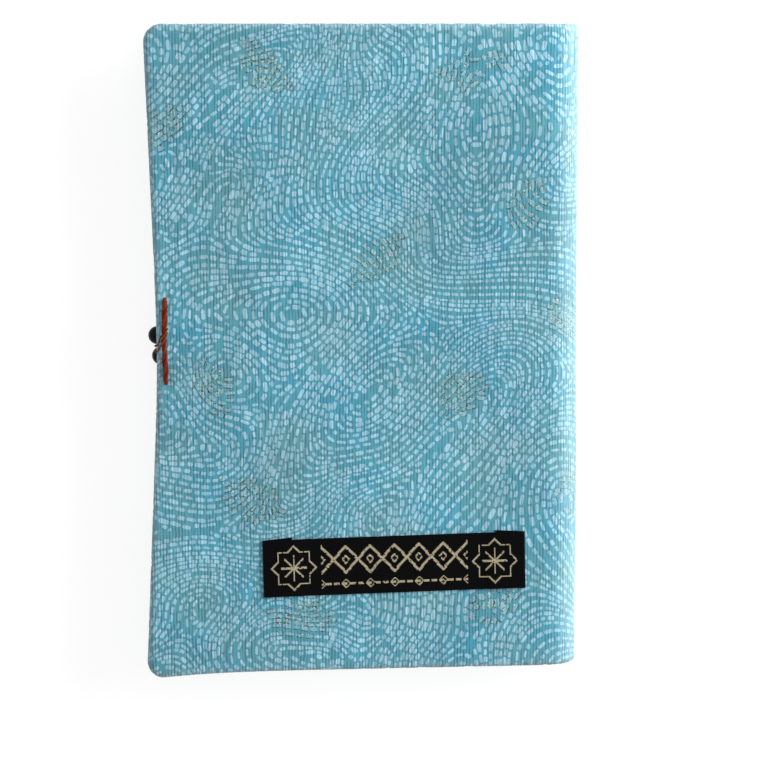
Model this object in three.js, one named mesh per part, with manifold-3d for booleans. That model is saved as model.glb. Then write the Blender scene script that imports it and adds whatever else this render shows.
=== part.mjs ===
// Needle book, closed: two stiffened cloth covers and a round cloth spine around four felt leaves,
// with a bead toggle on the front cover and a thread loop on the back cover.
// Millimetres, +Z up. The front cover lies on z = 0 with the back cover on top, the spine is at +X,
// the fore edge at -X and the head of the book at +Y. The origin is in the middle of the front face.

import * as THREE from 'three';
import { mergeVertices } from 'three/addons/utils/BufferGeometryUtils.js';
import Module from 'manifold-3d';

const wasm = await Module();
wasm.setup();

// Book
const bookWidth = 100; // fore corners to the outside of the spine
const bookHeight = 150;
const cornerRadius = 4.2; // fore corners of the covers

// Plies of a cover
const clothThickness = 0.4;
const stiffenerThickness = 1.6;
const liningThickness = 0.4;
const plyClearance = 0.1;
const turnedEdge = 1.0; // rim of outer cloth with its turned-in seam allowance
const edgeRound = 0.8; // soft round on the rim
const foldSlit = 0.3; // between a panel and the spine, where the cloth creases

// Fore edge: it slants a little, as on a cover cut by hand, and the closure draws it in
const tailFlare = 1.2; // how far the corner at the tail stands out past a square cover
const backDrawIn = 2.6;
const frontDrawIn = 3.9;
const frontSetBack = 1.7; // the front cover ends short of the back one, to make room for the beads
const drawInY = -1.5;
const drawInRound = 12; // length over which the two straight stretches bend into each other

// Felt leaves
const feltThickness = 1.1;
const coverToFelt = 0.4;
const feltToFelt = 0.3;
const middleGap = 1.0; // between the two middle leaves, where the binding thread lies
const leafEndInset = 7;
const leafForeInset = 8;
const leafCornerRadius = 3;

// Binding: one running stitch through the felt folds, the lining and the fleece
const bindingThread = 0.5;
const bindingInset = 6; // first and last hole, from the ends of the felt folds
const bindingHoles = 6;
const bindingEnd = 3; // tail of thread past the first and last hole
const stitchClearance = 0.25; // round a thread in its hole

// Label with folded ends
const labelWidth = 60.8;
const labelHeight = 13.4;
const labelSheet = 0.3;
const labelFold = 7;
const labelSpineGap = 13; // from the outside of the spine
const labelTailGap = 18.4;
const labelTurn = THREE.MathUtils.degToRad(1.1);

// Thread bar on the back cover
const barDiameter = 1.3;
const barLength = 19.5;
const barY = 2.9;
const barInset = 2.1; // from the fore edge
const barDepth = 1.2; // how far its ends go down into the cover
const barPull = 0.3; // how far the loop pulls its middle towards the fore edge

// Bead toggle on the front cover, and the loop that goes round its shank
const beadDiameter = 4.3;
const beadBore = 1.1;
const beadGap = 0.55;
const beadFloorClearance = 0.3;
const beadThread = 0.6;
const toggleY = 1.1;
const toggleTilt = THREE.MathUtils.degToRad(9.4);
const shankDepth = 2.2; // how far the shank goes into the cover
const loopThread = 0.5;
const threadClearance = 0.1;

// How finely round forms are divided
const cornerSteps = 6;
const foreEdgeSteps = 20;
const edgeSteps = 3;
const spineSteps = 48; // on a full turn, of which the spine keeps half
const beadSteps = 20;
const bendSteps = 4;
const bendShare = 0.49; // of a straight stretch that one bend may use up, so that two bends never meet
const threadSides = 8;
const drillSides = 16;

// Sizes that follow
const coverThickness = clothThickness + stiffenerThickness + liningThickness + 2 * plyClearance;
const feltStack = 4 * feltThickness + 2 * coverToFelt + 2 * feltToFelt + middleGap;
const bookThickness = 2 * coverThickness + feltStack;
const middleZ = bookThickness / 2;
const spineRadius = bookThickness / 2;
const foldX = bookWidth / 2 - spineRadius;
const panelEnd = foldX - foldSlit;
const stiffenerInset = turnedEdge + plyClearance;
const outerFeltRadius = spineRadius - coverThickness - coverToFelt;
const innerFeltRadius = outerFeltRadius - feltThickness - feltToFelt;
const leafHalfHeight = bookHeight / 2 - leafEndInset;
const labelX = bookWidth / 2 - labelSpineGap - labelWidth / 2;
const labelY = labelTailGap + labelHeight / 2 - bookHeight / 2;
const cutMargin = 10; // how far a cutting body runs past what it cuts

// Solids
function solid(geometry) {
  const bare = geometry.clone();
  bare.deleteAttribute('normal');
  bare.deleteAttribute('uv');
  const merged = mergeVertices(bare);
  return new wasm.Manifold(
    new wasm.Mesh({
      numProp: 3,
      vertProperties: new Float32Array(merged.attributes.position.array),
      triVerts: new Uint32Array(merged.index.array),
    }),
  );
}

function geometryOf(manifold) {
  const mesh = manifold.getMesh();
  const geometry = new THREE.BufferGeometry();
  geometry.setAttribute('position', new THREE.BufferAttribute(new Float32Array(mesh.vertProperties), 3));
  geometry.setIndex(new THREE.BufferAttribute(new Uint32Array(mesh.triVerts), 1));
  geometry.computeVertexNormals();
  return geometry;
}

function block(low, high) {
  const size = high.clone().sub(low);
  const middle = high.clone().add(low).multiplyScalar(0.5);
  return solid(new THREE.BoxGeometry(size.x, size.y, size.z).translate(middle.x, middle.y, middle.z));
}

function plate(outline, lowZ, thickness) {
  const geometry = new THREE.ExtrudeGeometry(outline, { depth: thickness, bevelEnabled: false });
  return geometry.translate(0, 0, lowZ);
}

// A plate whose edge is rounded inside its outline, on both faces.
function softPlate(outline, thickness) {
  const geometry = new THREE.ExtrudeGeometry(outline, {
    depth: thickness - 2 * edgeRound,
    bevelThickness: edgeRound,
    bevelSize: edgeRound,
    bevelOffset: -edgeRound,
    bevelSegments: edgeSteps,
  });
  return geometry.translate(0, 0, edgeRound);
}

// A round hole's cutting body along X or Z.
function drill(from, to, diameter) {
  const along = to.clone().sub(from);
  const geometry = new THREE.CylinderGeometry(diameter / 2, diameter / 2, along.length(), drillSides);
  const turn = new THREE.Quaternion().setFromUnitVectors(new THREE.Vector3(0, 1, 0), along.normalize());
  const middle = from.clone().add(to).multiplyScalar(0.5);
  return solid(geometry.applyQuaternion(turn).translate(middle.x, middle.y, middle.z));
}

// Points of a path with its corners rounded.
function roundedPath(corners, radius, closed) {
  const count = corners.length;
  const points = [];
  for (let i = 0; i < count; i += 1) {
    if (!closed && (i === 0 || i === count - 1)) {
      points.push(corners[i].clone());
      continue;
    }
    const toBefore = corners[(i + count - 1) % count].clone().sub(corners[i]);
    const toAfter = corners[(i + 1) % count].clone().sub(corners[i]);
    const reach = Math.min(radius, bendShare * toBefore.length(), bendShare * toAfter.length());
    const start = corners[i].clone().add(toBefore.normalize().multiplyScalar(reach));
    const end = corners[i].clone().add(toAfter.normalize().multiplyScalar(reach));
    points.push(...new THREE.QuadraticBezierCurve3(start, corners[i], end).getPoints(bendSteps));
  }
  return points;
}

// A thread: rings of points carried along a path without twisting, joined and capped,
// or joined end to end where the path is closed.
function thread(points, diameter, closed) {
  const count = points.length;
  const direction = (i) => {
    const before = points[closed ? (i + count - 1) % count : Math.max(i - 1, 0)];
    const after = points[closed ? (i + 1) % count : Math.min(i + 1, count - 1)];
    const arriving = points[i].clone().sub(before).normalize();
    const leaving = after.clone().sub(points[i]).normalize();
    return arriving.add(leaving).normalize();
  };
  const directions = points.map((_, i) => direction(i));
  const first = directions[0];
  const mostlyAlongX = Math.abs(first.x) > Math.abs(first.z);
  const helper = mostlyAlongX ? new THREE.Vector3(0, 0, 1) : new THREE.Vector3(1, 0, 0);
  const across = [helper.sub(first.clone().multiplyScalar(helper.dot(first))).normalize()];
  const turn = new THREE.Quaternion();
  for (let i = 1; i < count; i += 1) {
    turn.setFromUnitVectors(directions[i - 1], directions[i]);
    across.push(across[i - 1].clone().applyQuaternion(turn));
  }
  let twist = 0;
  if (closed) {
    turn.setFromUnitVectors(directions[count - 1], first);
    const last = across[count - 1].clone().applyQuaternion(turn);
    twist = Math.atan2(last.clone().cross(across[0]).dot(first), last.dot(across[0]));
  }
  const positions = [];
  for (let i = 0; i < count; i += 1) {
    const up = directions[i].clone().cross(across[i]);
    for (let k = 0; k < threadSides; k += 1) {
      const angle = (k / threadSides) * 2 * Math.PI + (twist * i) / count;
      const point = points[i].clone();
      point.addScaledVector(across[i], (Math.cos(angle) * diameter) / 2);
      point.addScaledVector(up, (Math.sin(angle) * diameter) / 2);
      positions.push(point.x, point.y, point.z);
    }
  }
  const index = [];
  const spans = closed ? count : count - 1;
  for (let i = 0; i < spans; i += 1) {
    const here = i * threadSides;
    const next = ((i + 1) % count) * threadSides;
    for (let k = 0; k < threadSides; k += 1) {
      const beside = (k + 1) % threadSides;
      index.push(here + k, here + beside, next + k);
      index.push(here + beside, next + beside, next + k);
    }
  }
  if (!closed) {
    const end = (count - 1) * threadSides;
    for (let k = 1; k < threadSides - 1; k += 1) {
      index.push(0, k + 1, k);
      index.push(end, end + k, end + k + 1);
    }
  }
  const geometry = new THREE.BufferGeometry();
  geometry.setAttribute('position', new THREE.Float32BufferAttribute(positions, 3));
  geometry.setIndex(index);
  geometry.computeVertexNormals();
  return geometry;
}

// Outlines, seen from above
// What share of its full depth the draw-in of the fore edge has at a height on the book.
function drawnIn(y) {
  const reach = bookHeight / 2 - cornerRadius;
  const limit = y > drawInY ? reach - drawInY : reach + drawInY;
  const soft = (distance) => Math.hypot(distance, drawInRound);
  const share = (soft(limit) - soft(y - drawInY)) / (soft(limit) - drawInRound);
  return Math.max(share, 0);
}

function foreEdge(y, cover) {
  const towardsTail = 0.5 - y / bookHeight;
  return -bookWidth / 2 - tailFlare * towardsTail + cover.setBack + cover.drawIn * drawnIn(y);
}

// A panel with two round fore corners. edge(y) gives its fore edge, and side is -1 to mirror it head to tail.
function panelOutline(edge, halfHeight, radius, spineEnd, side) {
  const points = [new THREE.Vector2(spineEnd, -halfHeight)];
  const corner = (cornerY, fromAngle, toAngle) => {
    const centreX = edge(cornerY) + radius;
    for (let i = 0; i <= cornerSteps; i += 1) {
      const angle = fromAngle + ((toAngle - fromAngle) * i) / cornerSteps;
      points.push(new THREE.Vector2(centreX + radius * Math.cos(angle), cornerY + radius * Math.sin(angle)));
    }
  };
  const straight = halfHeight - radius;
  corner(-straight, -Math.PI / 2, -Math.PI);
  for (let i = 1; i < foreEdgeSteps; i += 1) {
    const y = -straight + (2 * straight * i) / foreEdgeSteps;
    points.push(new THREE.Vector2(edge(y), y));
  }
  corner(straight, Math.PI, Math.PI / 2);
  points.push(new THREE.Vector2(spineEnd, halfHeight));
  return new THREE.Shape(points.map((p) => new THREE.Vector2(p.x, side * p.y)));
}

function coverOutline(cover, inset, spineEnd) {
  const edge = (y) => foreEdge(y, cover) + inset;
  const radius = Math.max(cornerRadius - inset, edgeRound);
  return panelOutline(edge, bookHeight / 2 - inset, radius, spineEnd, cover.side);
}

// Covers: built with the outer face down on z = 0. The back cover is turned over onto the book.
const front = { side: 1, setBack: frontSetBack, drawIn: frontDrawIn, place: new THREE.Matrix4() };
const back = {
  side: -1,
  setBack: 0,
  drawIn: backDrawIn,
  place: new THREE.Matrix4().makeRotationX(Math.PI).setPosition(0, 0, bookThickness),
};

function outerCloth(cover) {
  const whole = softPlate(coverOutline(cover, 0, foldX + cutMargin), coverThickness);
  const keep = block(
    new THREE.Vector3(-bookWidth, -bookHeight, -cutMargin),
    new THREE.Vector3(panelEnd, bookHeight, coverThickness + cutMargin),
  );
  const hollow = plate(coverOutline(cover, turnedEdge, foldX + cutMargin), clothThickness, coverThickness);
  return geometryOf(solid(whole).intersect(keep).subtract(solid(hollow))).applyMatrix4(cover.place);
}

function innerPly(cover, lowZ, thickness) {
  return plate(coverOutline(cover, stiffenerInset, panelEnd), lowZ, thickness).applyMatrix4(cover.place);
}

const stiffenerLow = clothThickness + plyClearance;
const liningLow = stiffenerLow + stiffenerThickness + plyClearance;
const stiffener = (cover) => innerPly(cover, stiffenerLow, stiffenerThickness);
const lining = (cover) => innerPly(cover, liningLow, liningThickness);

// Spine: rings turned about the fold line, of which the half outside the fold is kept.
const outsideFold = block(
  new THREE.Vector3(foldX, -bookHeight, -bookThickness),
  new THREE.Vector3(bookWidth, bookHeight, 2 * bookThickness),
);

function halfRing(profile) {
  const closedProfile = [...profile, profile[0]].map(([radius, y]) => new THREE.Vector2(radius, y));
  const ring = new THREE.LatheGeometry(closedProfile, spineSteps).translate(foldX, 0, middleZ);
  return solid(ring).intersect(outsideFold);
}

function spinePly(outerRadius, thickness, halfHeight) {
  return halfRing([
    [outerRadius - thickness, -halfHeight],
    [outerRadius, -halfHeight],
    [outerRadius, halfHeight],
    [outerRadius - thickness, halfHeight],
  ]);
}

// The outer cloth turns in at head and tail, with the same round rim as the panels.
function spineOuterCloth() {
  const inside = spineRadius - coverThickness;
  const channel = spineRadius - clothThickness;
  const end = bookHeight / 2;
  const rim = [[channel, turnedEdge - end], [inside, turnedEdge - end]];
  for (let i = 0; i <= edgeSteps; i += 1) {
    const angle = Math.PI + ((Math.PI / 2) * i) / edgeSteps;
    rim.push([
      inside + edgeRound + edgeRound * Math.cos(angle),
      edgeRound - end + edgeRound * Math.sin(angle),
    ]);
  }
  for (let i = 0; i <= edgeSteps; i += 1) {
    const angle = (-Math.PI / 2) * (1 - i / edgeSteps);
    rim.push([
      spineRadius - edgeRound + edgeRound * Math.cos(angle),
      edgeRound - end + edgeRound * Math.sin(angle),
    ]);
  }
  const headRim = rim.map(([radius, y]) => [radius, -y]).reverse();
  return geometryOf(halfRing([...rim, ...headRim]));
}

// Binding: the thread goes out and in through a row of holes. Its outer runs lie in a groove in the fleece.
const spinePlyHalfHeight = bookHeight / 2 - stiffenerInset;
const fleeceRadius = spineRadius - clothThickness - plyClearance;
const bindingInsideX = foldX + middleGap / 2 - bindingThread / 2 - plyClearance;
const bindingOutsideX = foldX + fleeceRadius - bindingThread;
const bindingHead = leafHalfHeight - bindingInset;
const bindingTail = -bindingHead;
const holeDiameter = bindingThread + 2 * stitchClearance;
const holeY = Array.from(
  { length: bindingHoles },
  (_, i) => bindingHead + ((bindingTail - bindingHead) * i) / (bindingHoles - 1),
);

function pierced(ply) {
  return holeY.reduce((left, y) => {
    const from = new THREE.Vector3(foldX - cutMargin, y, middleZ);
    const to = new THREE.Vector3(foldX + spineRadius + cutMargin, y, middleZ);
    return left.subtract(drill(from, to, holeDiameter));
  }, ply);
}

function spineFleece() {
  const ply = pierced(spinePly(fleeceRadius, stiffenerThickness, spinePlyHalfHeight));
  const groove = block(
    new THREE.Vector3(bindingOutsideX - holeDiameter / 2, bindingTail, middleZ - holeDiameter / 2),
    new THREE.Vector3(bookWidth, bindingHead, middleZ + holeDiameter / 2),
  );
  return geometryOf(ply.subtract(groove));
}

function spineLining() {
  const radius = spineRadius - coverThickness + liningThickness;
  return geometryOf(pierced(spinePly(radius, liningThickness, spinePlyHalfHeight)));
}

const feltFold = (radius) => geometryOf(pierced(spinePly(radius, feltThickness, leafHalfHeight)));

function bindingRun() {
  const at = (x, y) => new THREE.Vector3(x, y, middleZ);
  const corners = [at(bindingInsideX, bindingHead + bindingEnd)];
  holeY.forEach((y, i) => {
    const outward = i % 2 === 0;
    corners.push(at(outward ? bindingInsideX : bindingOutsideX, y));
    corners.push(at(outward ? bindingOutsideX : bindingInsideX, y));
  });
  const lastX = bindingHoles % 2 === 0 ? bindingInsideX : bindingOutsideX;
  corners.push(at(lastX, bindingTail - bindingEnd));
  return thread(roundedPath(corners, bindingThread, false), bindingThread, false);
}

// Felt leaves, counted from the front cover
function feltLeaf(lowZ) {
  const edge = () => -bookWidth / 2 + frontSetBack + leafForeInset;
  return plate(panelOutline(edge, leafHalfHeight, leafCornerRadius, panelEnd, 1), lowZ, feltThickness);
}

const leafLow = [
  middleZ - outerFeltRadius,
  middleZ - innerFeltRadius,
  middleZ + innerFeltRadius - feltThickness,
  middleZ + outerFeltRadius - feltThickness,
];

// Label: a woven strip with its ends folded under, so that it lies double there.
function label() {
  const half = labelWidth / 2;
  const section = new THREE.Shape([
    new THREE.Vector2(-half, 0),
    new THREE.Vector2(labelFold - half, 0),
    new THREE.Vector2(labelFold - half, labelSheet),
    new THREE.Vector2(half - labelFold, labelSheet),
    new THREE.Vector2(half - labelFold, 0),
    new THREE.Vector2(half, 0),
    new THREE.Vector2(half, 2 * labelSheet),
    new THREE.Vector2(-half, 2 * labelSheet),
  ]);
  const strip = new THREE.ExtrudeGeometry(section, { depth: labelHeight, bevelEnabled: false });
  strip.translate(0, 0, -labelHeight / 2).rotateX(Math.PI / 2).rotateZ(labelTurn);
  return strip.translate(labelX, labelY, bookThickness + plyClearance);
}

// Thread bar: it arches a little in the middle, where the loop passes under it.
const barX = foreEdge(barY, back) + barInset;
const barMiddleX = barX - barPull;
const loopWrap = (barDiameter + loopThread) / 2 + threadClearance;
const loopLow = bookThickness + loopThread / 2 + threadClearance;
const barMiddleZ = loopLow + loopWrap;
const barHoleDiameter = barDiameter + 2 * stitchClearance;
const barEnds = [barY + barLength / 2, barY - barLength / 2];

function bar() {
  const low = bookThickness - barDepth;
  const lie = bookThickness + barDiameter / 2 + threadClearance;
  const corners = [
    new THREE.Vector3(barX, barEnds[0], low),
    new THREE.Vector3(barX, barEnds[0], lie),
    new THREE.Vector3(barMiddleX, barY, barMiddleZ),
    new THREE.Vector3(barX, barEnds[1], lie),
    new THREE.Vector3(barX, barEnds[1], low),
  ];
  return thread(roundedPath(corners, barDiameter, false), barDiameter, false);
}

function drilledForBar(geometry) {
  const low = bookThickness - barDepth - stitchClearance;
  return barEnds.reduce((left, y) => {
    const from = new THREE.Vector3(barX, y, low);
    const to = new THREE.Vector3(barX, y, bookThickness + cutMargin);
    return left.subtract(drill(from, to, barHoleDiameter));
  }, solid(geometry));
}

// Toggle: two beads on one thread, whose shank comes out between them and goes into the front cover's edge.
const frontEdgeX = foreEdge(toggleY, front);
const beadRadius = beadDiameter / 2;
const beadZ = beadRadius + beadFloorClearance;
const beadOffset = beadRadius + beadGap / 2;
const legHalf = (beadThread + loopThread) / 2 + threadClearance;
const legX = frontEdgeX - loopThread / 2 - threadClearance;
const beadToLeg = beadRadius + loopThread / 2 + threadClearance;
const besideLeg = beadOffset * Math.cos(toggleTilt) - legHalf;
const lowerBeadX = legX - Math.sqrt(beadToLeg ** 2 - besideLeg ** 2);
const waist = new THREE.Vector3(lowerBeadX - beadOffset * Math.sin(toggleTilt), toggleY, beadZ);
const alongToggle = new THREE.Vector3(-Math.sin(toggleTilt), Math.cos(toggleTilt), 0);
const shankZ = coverThickness / 2;

function bead() {
  const profile = [];
  const boreAngle = Math.acos(beadBore / beadDiameter);
  for (let i = 0; i <= beadSteps / 2; i += 1) {
    const angle = -boreAngle + (2 * boreAngle * i) / (beadSteps / 2);
    profile.push(new THREE.Vector2(beadRadius * Math.cos(angle), beadRadius * Math.sin(angle)));
  }
  profile.push(profile[0].clone());
  return new THREE.LatheGeometry(profile, beadSteps);
}

function placeBead(mesh, direction) {
  mesh.position.copy(waist).addScaledVector(alongToggle, direction * beadOffset);
  mesh.rotation.z = toggleTilt;
}

function toggleThread() {
  const reach = beadOffset + beadRadius / 2;
  const cross = [reach, -reach].map((offset) => waist.clone().addScaledVector(alongToggle, offset));
  const shank = [
    waist.clone(),
    new THREE.Vector3(frontEdgeX - threadClearance, toggleY, shankZ),
    new THREE.Vector3(frontEdgeX + shankDepth, toggleY, shankZ),
  ];
  const crossSolid = solid(thread(cross, beadThread, false));
  return geometryOf(crossSolid.add(solid(thread(roundedPath(shank, beadThread, false), beadThread, false))));
}

function drilledForShank(geometry) {
  const from = new THREE.Vector3(frontEdgeX - cutMargin, toggleY, shankZ);
  const to = new THREE.Vector3(frontEdgeX + shankDepth + stitchClearance, toggleY, shankZ);
  return geometryOf(solid(geometry).subtract(drill(from, to, beadThread + 2 * stitchClearance)));
}

// Loop: one ring of thread round the bar, over the back cover's fore edge and round the shank below.
function loop() {
  const hangX = foreEdge(toggleY, back) - loopThread / 2 - threadClearance;
  const overBarZ = barMiddleZ + loopWrap;
  const shankSlope = (beadZ - shankZ) / (frontEdgeX - threadClearance - waist.x);
  const shankAtLeg = shankZ + shankSlope * (frontEdgeX - threadClearance - legX);
  const bightZ = shankAtLeg - legHalf * Math.hypot(1, shankSlope);
  const leg = (side) => [
    new THREE.Vector3(hangX, toggleY + side * legHalf, loopLow),
    new THREE.Vector3(hangX, toggleY + side * legHalf, bookThickness - coverThickness),
    new THREE.Vector3(legX, toggleY + side * legHalf, beadZ + beadRadius),
    new THREE.Vector3(legX, toggleY + side * legHalf, bightZ),
  ];
  const corners = [
    new THREE.Vector3(barMiddleX + loopWrap, barY + legHalf, overBarZ),
    new THREE.Vector3(barMiddleX + loopWrap, barY - legHalf, loopLow),
    ...leg(-1),
    ...leg(1).reverse(),
    new THREE.Vector3(barMiddleX - loopWrap, barY + legHalf, overBarZ),
  ];
  return thread(roundedPath(corners, loopWrap, true), loopThread, true);
}

// Materials
const finish = (color, roughness) => new THREE.MeshStandardMaterial({ color, roughness, metalness: 0 });
const printedCotton = finish(0x74b0c0, 0.85);
const liningCotton = finish(0x5f9fb2, 0.88);
const interlining = finish(0xe9e6dc, 0.95);
const felt = finish(0xd3c8b0, 0.97);
const labelSatin = finish(0x0b0b0d, 0.55);
const rustThread = finish(0x8a3512, 0.7);
const paleThread = finish(0xdfe9e8, 0.7);
const blackThread = finish(0x141414, 0.75);
const blackGlass = finish(0x050506, 0.12);

// Assembly
const needleBook = new THREE.Group();

function addPiece(name, geometry, material) {
  const mesh = new THREE.Mesh(geometry, material);
  mesh.name = name;
  needleBook.add(mesh);
  return mesh;
}

addPiece('front_outer_cloth', drilledForShank(outerCloth(front)), printedCotton);
addPiece('front_stiffener', drilledForShank(stiffener(front)), interlining);
addPiece('front_lining', lining(front), liningCotton);
placeBead(addPiece('bead_upper', bead(), blackGlass), 1);
placeBead(addPiece('bead_lower', bead(), blackGlass), -1);
addPiece('bead_thread', toggleThread(), blackThread);

addPiece('spine_outer_cloth', spineOuterCloth(), printedCotton);
addPiece('spine_fleece', spineFleece(), interlining);
addPiece('spine_lining', spineLining(), liningCotton);
addPiece('felt_fold_outer', feltFold(outerFeltRadius), felt);
addPiece('felt_fold_inner', feltFold(innerFeltRadius), felt);
addPiece('binding_thread', bindingRun(), paleThread);

addPiece('back_outer_cloth', geometryOf(drilledForBar(outerCloth(back))), printedCotton);
addPiece('back_stiffener', geometryOf(drilledForBar(stiffener(back))), interlining);
addPiece('back_lining', lining(back), liningCotton);
addPiece('woven_label', label(), labelSatin);
addPiece('closure_bar', bar(), rustThread);
addPiece('closure_loop', loop(), rustThread);

leafLow.forEach((lowZ, i) => addPiece(`felt_leaf_${i + 1}`, feltLeaf(lowZ), felt));

export default needleBook;
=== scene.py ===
# %% [markdown]
# # A closed needle book
#
# A needle book is a small cloth folder for needles: two stiffened covers, a soft round spine and a few
# leaves of felt. The solids that are loaded here hold its true sizes, its joints and its weight. This
# lesson gives each of them the look of the real thing: printed cotton, felt, thread, satin and glass.
#
# Lengths are in millimetres, because that is how a maker measures a needle book. They become metres once,
# when a mesh is made.

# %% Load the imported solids
import math
import random

import bpy
import numpy as np
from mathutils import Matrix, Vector, kdtree
from mathutils.geometry import delaunay_2d_cdt


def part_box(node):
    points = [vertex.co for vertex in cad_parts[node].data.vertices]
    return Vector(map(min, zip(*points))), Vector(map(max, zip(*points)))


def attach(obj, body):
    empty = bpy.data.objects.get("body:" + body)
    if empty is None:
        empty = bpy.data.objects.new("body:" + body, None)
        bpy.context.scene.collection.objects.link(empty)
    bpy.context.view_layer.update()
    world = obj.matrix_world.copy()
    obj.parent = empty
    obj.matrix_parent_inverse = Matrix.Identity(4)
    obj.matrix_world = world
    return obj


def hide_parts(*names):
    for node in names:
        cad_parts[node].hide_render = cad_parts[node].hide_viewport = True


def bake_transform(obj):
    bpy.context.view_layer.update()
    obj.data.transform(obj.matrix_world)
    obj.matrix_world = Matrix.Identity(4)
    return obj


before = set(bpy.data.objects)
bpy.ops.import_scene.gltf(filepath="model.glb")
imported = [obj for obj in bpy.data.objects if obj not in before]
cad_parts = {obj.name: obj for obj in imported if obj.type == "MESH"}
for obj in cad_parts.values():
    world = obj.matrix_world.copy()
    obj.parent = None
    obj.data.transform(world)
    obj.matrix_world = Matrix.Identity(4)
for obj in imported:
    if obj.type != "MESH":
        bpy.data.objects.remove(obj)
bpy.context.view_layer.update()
MM = 0.001


def box_mm(node):
    """A node's lowest and highest corner, in millimetres."""
    return [[value / MM for value in corner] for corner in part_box(node)]


spine_low, spine_high = box_mm("spine_outer_cloth")
cover_low, cover_high = box_mm("back_outer_cloth")
FOLD_X = spine_low[0]
BOOK_TOP = spine_high[2]
MIDDLE_Z = BOOK_TOP / 2
SPINE_RADIUS = BOOK_TOP / 2
HEAD_Y = spine_high[1]
COVER_THICKNESS = cover_high[2] - cover_low[2]
print(f"book {2 * HEAD_Y:.0f} mm high and {BOOK_TOP:.1f} mm thick, covers {COVER_THICKNESS:.1f} mm")

# %% [markdown]
# ## Camera
#
# The photo was taken by hand from above, a little off the vertical. A lens of 108 mm on a 36 mm sensor,
# about half a metre away, gives the same slight narrowing towards the far edges. The three angles are the
# camera's tilt away from looking straight down.

# %% Camera
CAMERA_PLACE = (-35.3, 52.1, 540.3)
CAMERA_TILT_DEGREES = (-6.41, -4.31, -0.22)
CAMERA_SENSOR = 36
CAMERA_LENS = 108


def new_object(name, data):
    """An object in the scene that holds a mesh, a lamp or a camera."""
    made = bpy.data.objects.new(name, data)
    bpy.context.scene.collection.objects.link(made)
    return made


camera = new_object("camera", bpy.data.cameras.new("camera"))
camera.data.sensor_width = CAMERA_SENSOR
camera.data.lens = CAMERA_LENS
camera.location = Vector(CAMERA_PLACE) * MM
camera.rotation_euler = [math.radians(angle) for angle in CAMERA_TILT_DEGREES]
bpy.context.scene.camera = camera
print("camera", [round(value, 3) for value in camera.location])

# %% [markdown]
# ## Light and floor
#
# The spine is brighter than the covers, so part of the light comes from the right, from low down and a
# little towards the head, as from a window. A wide lamp there gives the bright spine, and an even white sky
# fills in the rest. The two together light the covers at a level at which a colour looks as it is written.
# The floor shows as white to the camera and keeps a soft shadow, while it reflects light onto the book like
# white card.
#
# Materials and the sky are made of nodes. One function adds a node of any kind and gives back the output
# that the next node needs, so that a chain of nodes reads like a few lines of arithmetic.

# %% Adding nodes
# Colours are shown as they are written, without the look of a film.
bpy.context.scene.view_settings.view_transform = "Standard"
WHITE = (1, 1, 1, 1)


def linear(hex_colour):
    """An sRGB hex colour as linear red, green, blue and alpha."""
    shares = [int(hex_colour[i : i + 2], 16) / 255 for i in (1, 3, 5)]
    return [c / 12.92 if c <= 0.04045 else ((c + 0.055) / 1.055) ** 2.4 for c in shares] + [1.0]


def set_inputs(tree, node, inputs):
    """Links every input that is given a socket and sets every other one to its value."""
    for socket, value in inputs.items():
        if isinstance(value, bpy.types.NodeSocket):
            tree.links.new(value, node.inputs[socket])
        else:
            node.inputs[socket].default_value = value


def add_node(tree, kind, inputs=None, out=0, **settings):
    """Adds a node with its settings, values and links, and gives one of its outputs."""
    node = tree.nodes.new("ShaderNode" + kind)
    for name, value in settings.items():
        setattr(node, name, value)
    set_inputs(tree, node, inputs or {})
    return node.outputs[out] if len(node.outputs) else None


def empty_tree(holder):
    """The node tree of a world or a material, with nothing in it."""
    holder.use_nodes = True
    holder.node_tree.nodes.clear()
    return holder.node_tree


def seen_directly(tree):
    """1 where the camera sees, straight, mirrored or through glass, and 0 for light on a matt surface."""
    seen = 0.0
    for kind_of_ray in ("Is Camera Ray", "Is Glossy Ray", "Is Transmission Ray"):
        ray = add_node(tree, "LightPath", out=kind_of_ray)
        seen = add_node(tree, "Math", {0: seen, 1: ray}, operation="MAXIMUM")
    return seen


print("half bright on the screen is", round(linear("#808080")[0], 2), "of the light")

# %% Light and floor
SKY_LEVEL = 0.47
WINDOW_WIDTH = 750
WINDOW_HEIGHT = 420
WINDOW_PLACE = (800, 320, 350)
WINDOW_WATTS = 11.9
FLOOR_HALF = 4000
FLOOR_SHOWN = 0.87

bpy.context.scene.world = bpy.data.worlds.new("white room")
sky = empty_tree(bpy.context.scene.world)
sky_level = add_node(sky, "MapRange", {"Value": seen_directly(sky), "To Min": SKY_LEVEL, "To Max": 1.0})
sky_white = add_node(sky, "Background", {"Color": WHITE, "Strength": sky_level})
add_node(sky, "OutputWorld", {"Surface": sky_white})

window = new_object("window", bpy.data.lights.new("window", "AREA"))
window.data.shape = "RECTANGLE"
window.data.size = WINDOW_WIDTH * MM
window.data.size_y = WINDOW_HEIGHT * MM
window.data.energy = WINDOW_WATTS
window.location = Vector(WINDOW_PLACE) * MM
window.rotation_euler = (-window.location).to_track_quat("-Z", "Y").to_euler()

# Matt card: an even white with a soft shadow to the eye, and light grey to the light that it throws back.
card = bpy.data.materials.new("white card, matt")
card_tree = empty_tree(card)
bounce = add_node(card_tree, "BsdfDiffuse", {"Color": linear("#e6e6e6")})
shadow = add_node(card_tree, "BsdfDiffuse", {"Color": linear("#808080")})
glow = add_node(card_tree, "Emission", {"Color": WHITE, "Strength": FLOOR_SHOWN})
shown = add_node(card_tree, "AddShader", {0: shadow, 1: glow})
card_mix = add_node(card_tree, "MixShader", {0: seen_directly(card_tree), 1: bounce, 2: shown})
add_node(card_tree, "OutputMaterial", {"Surface": card_mix})

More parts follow.
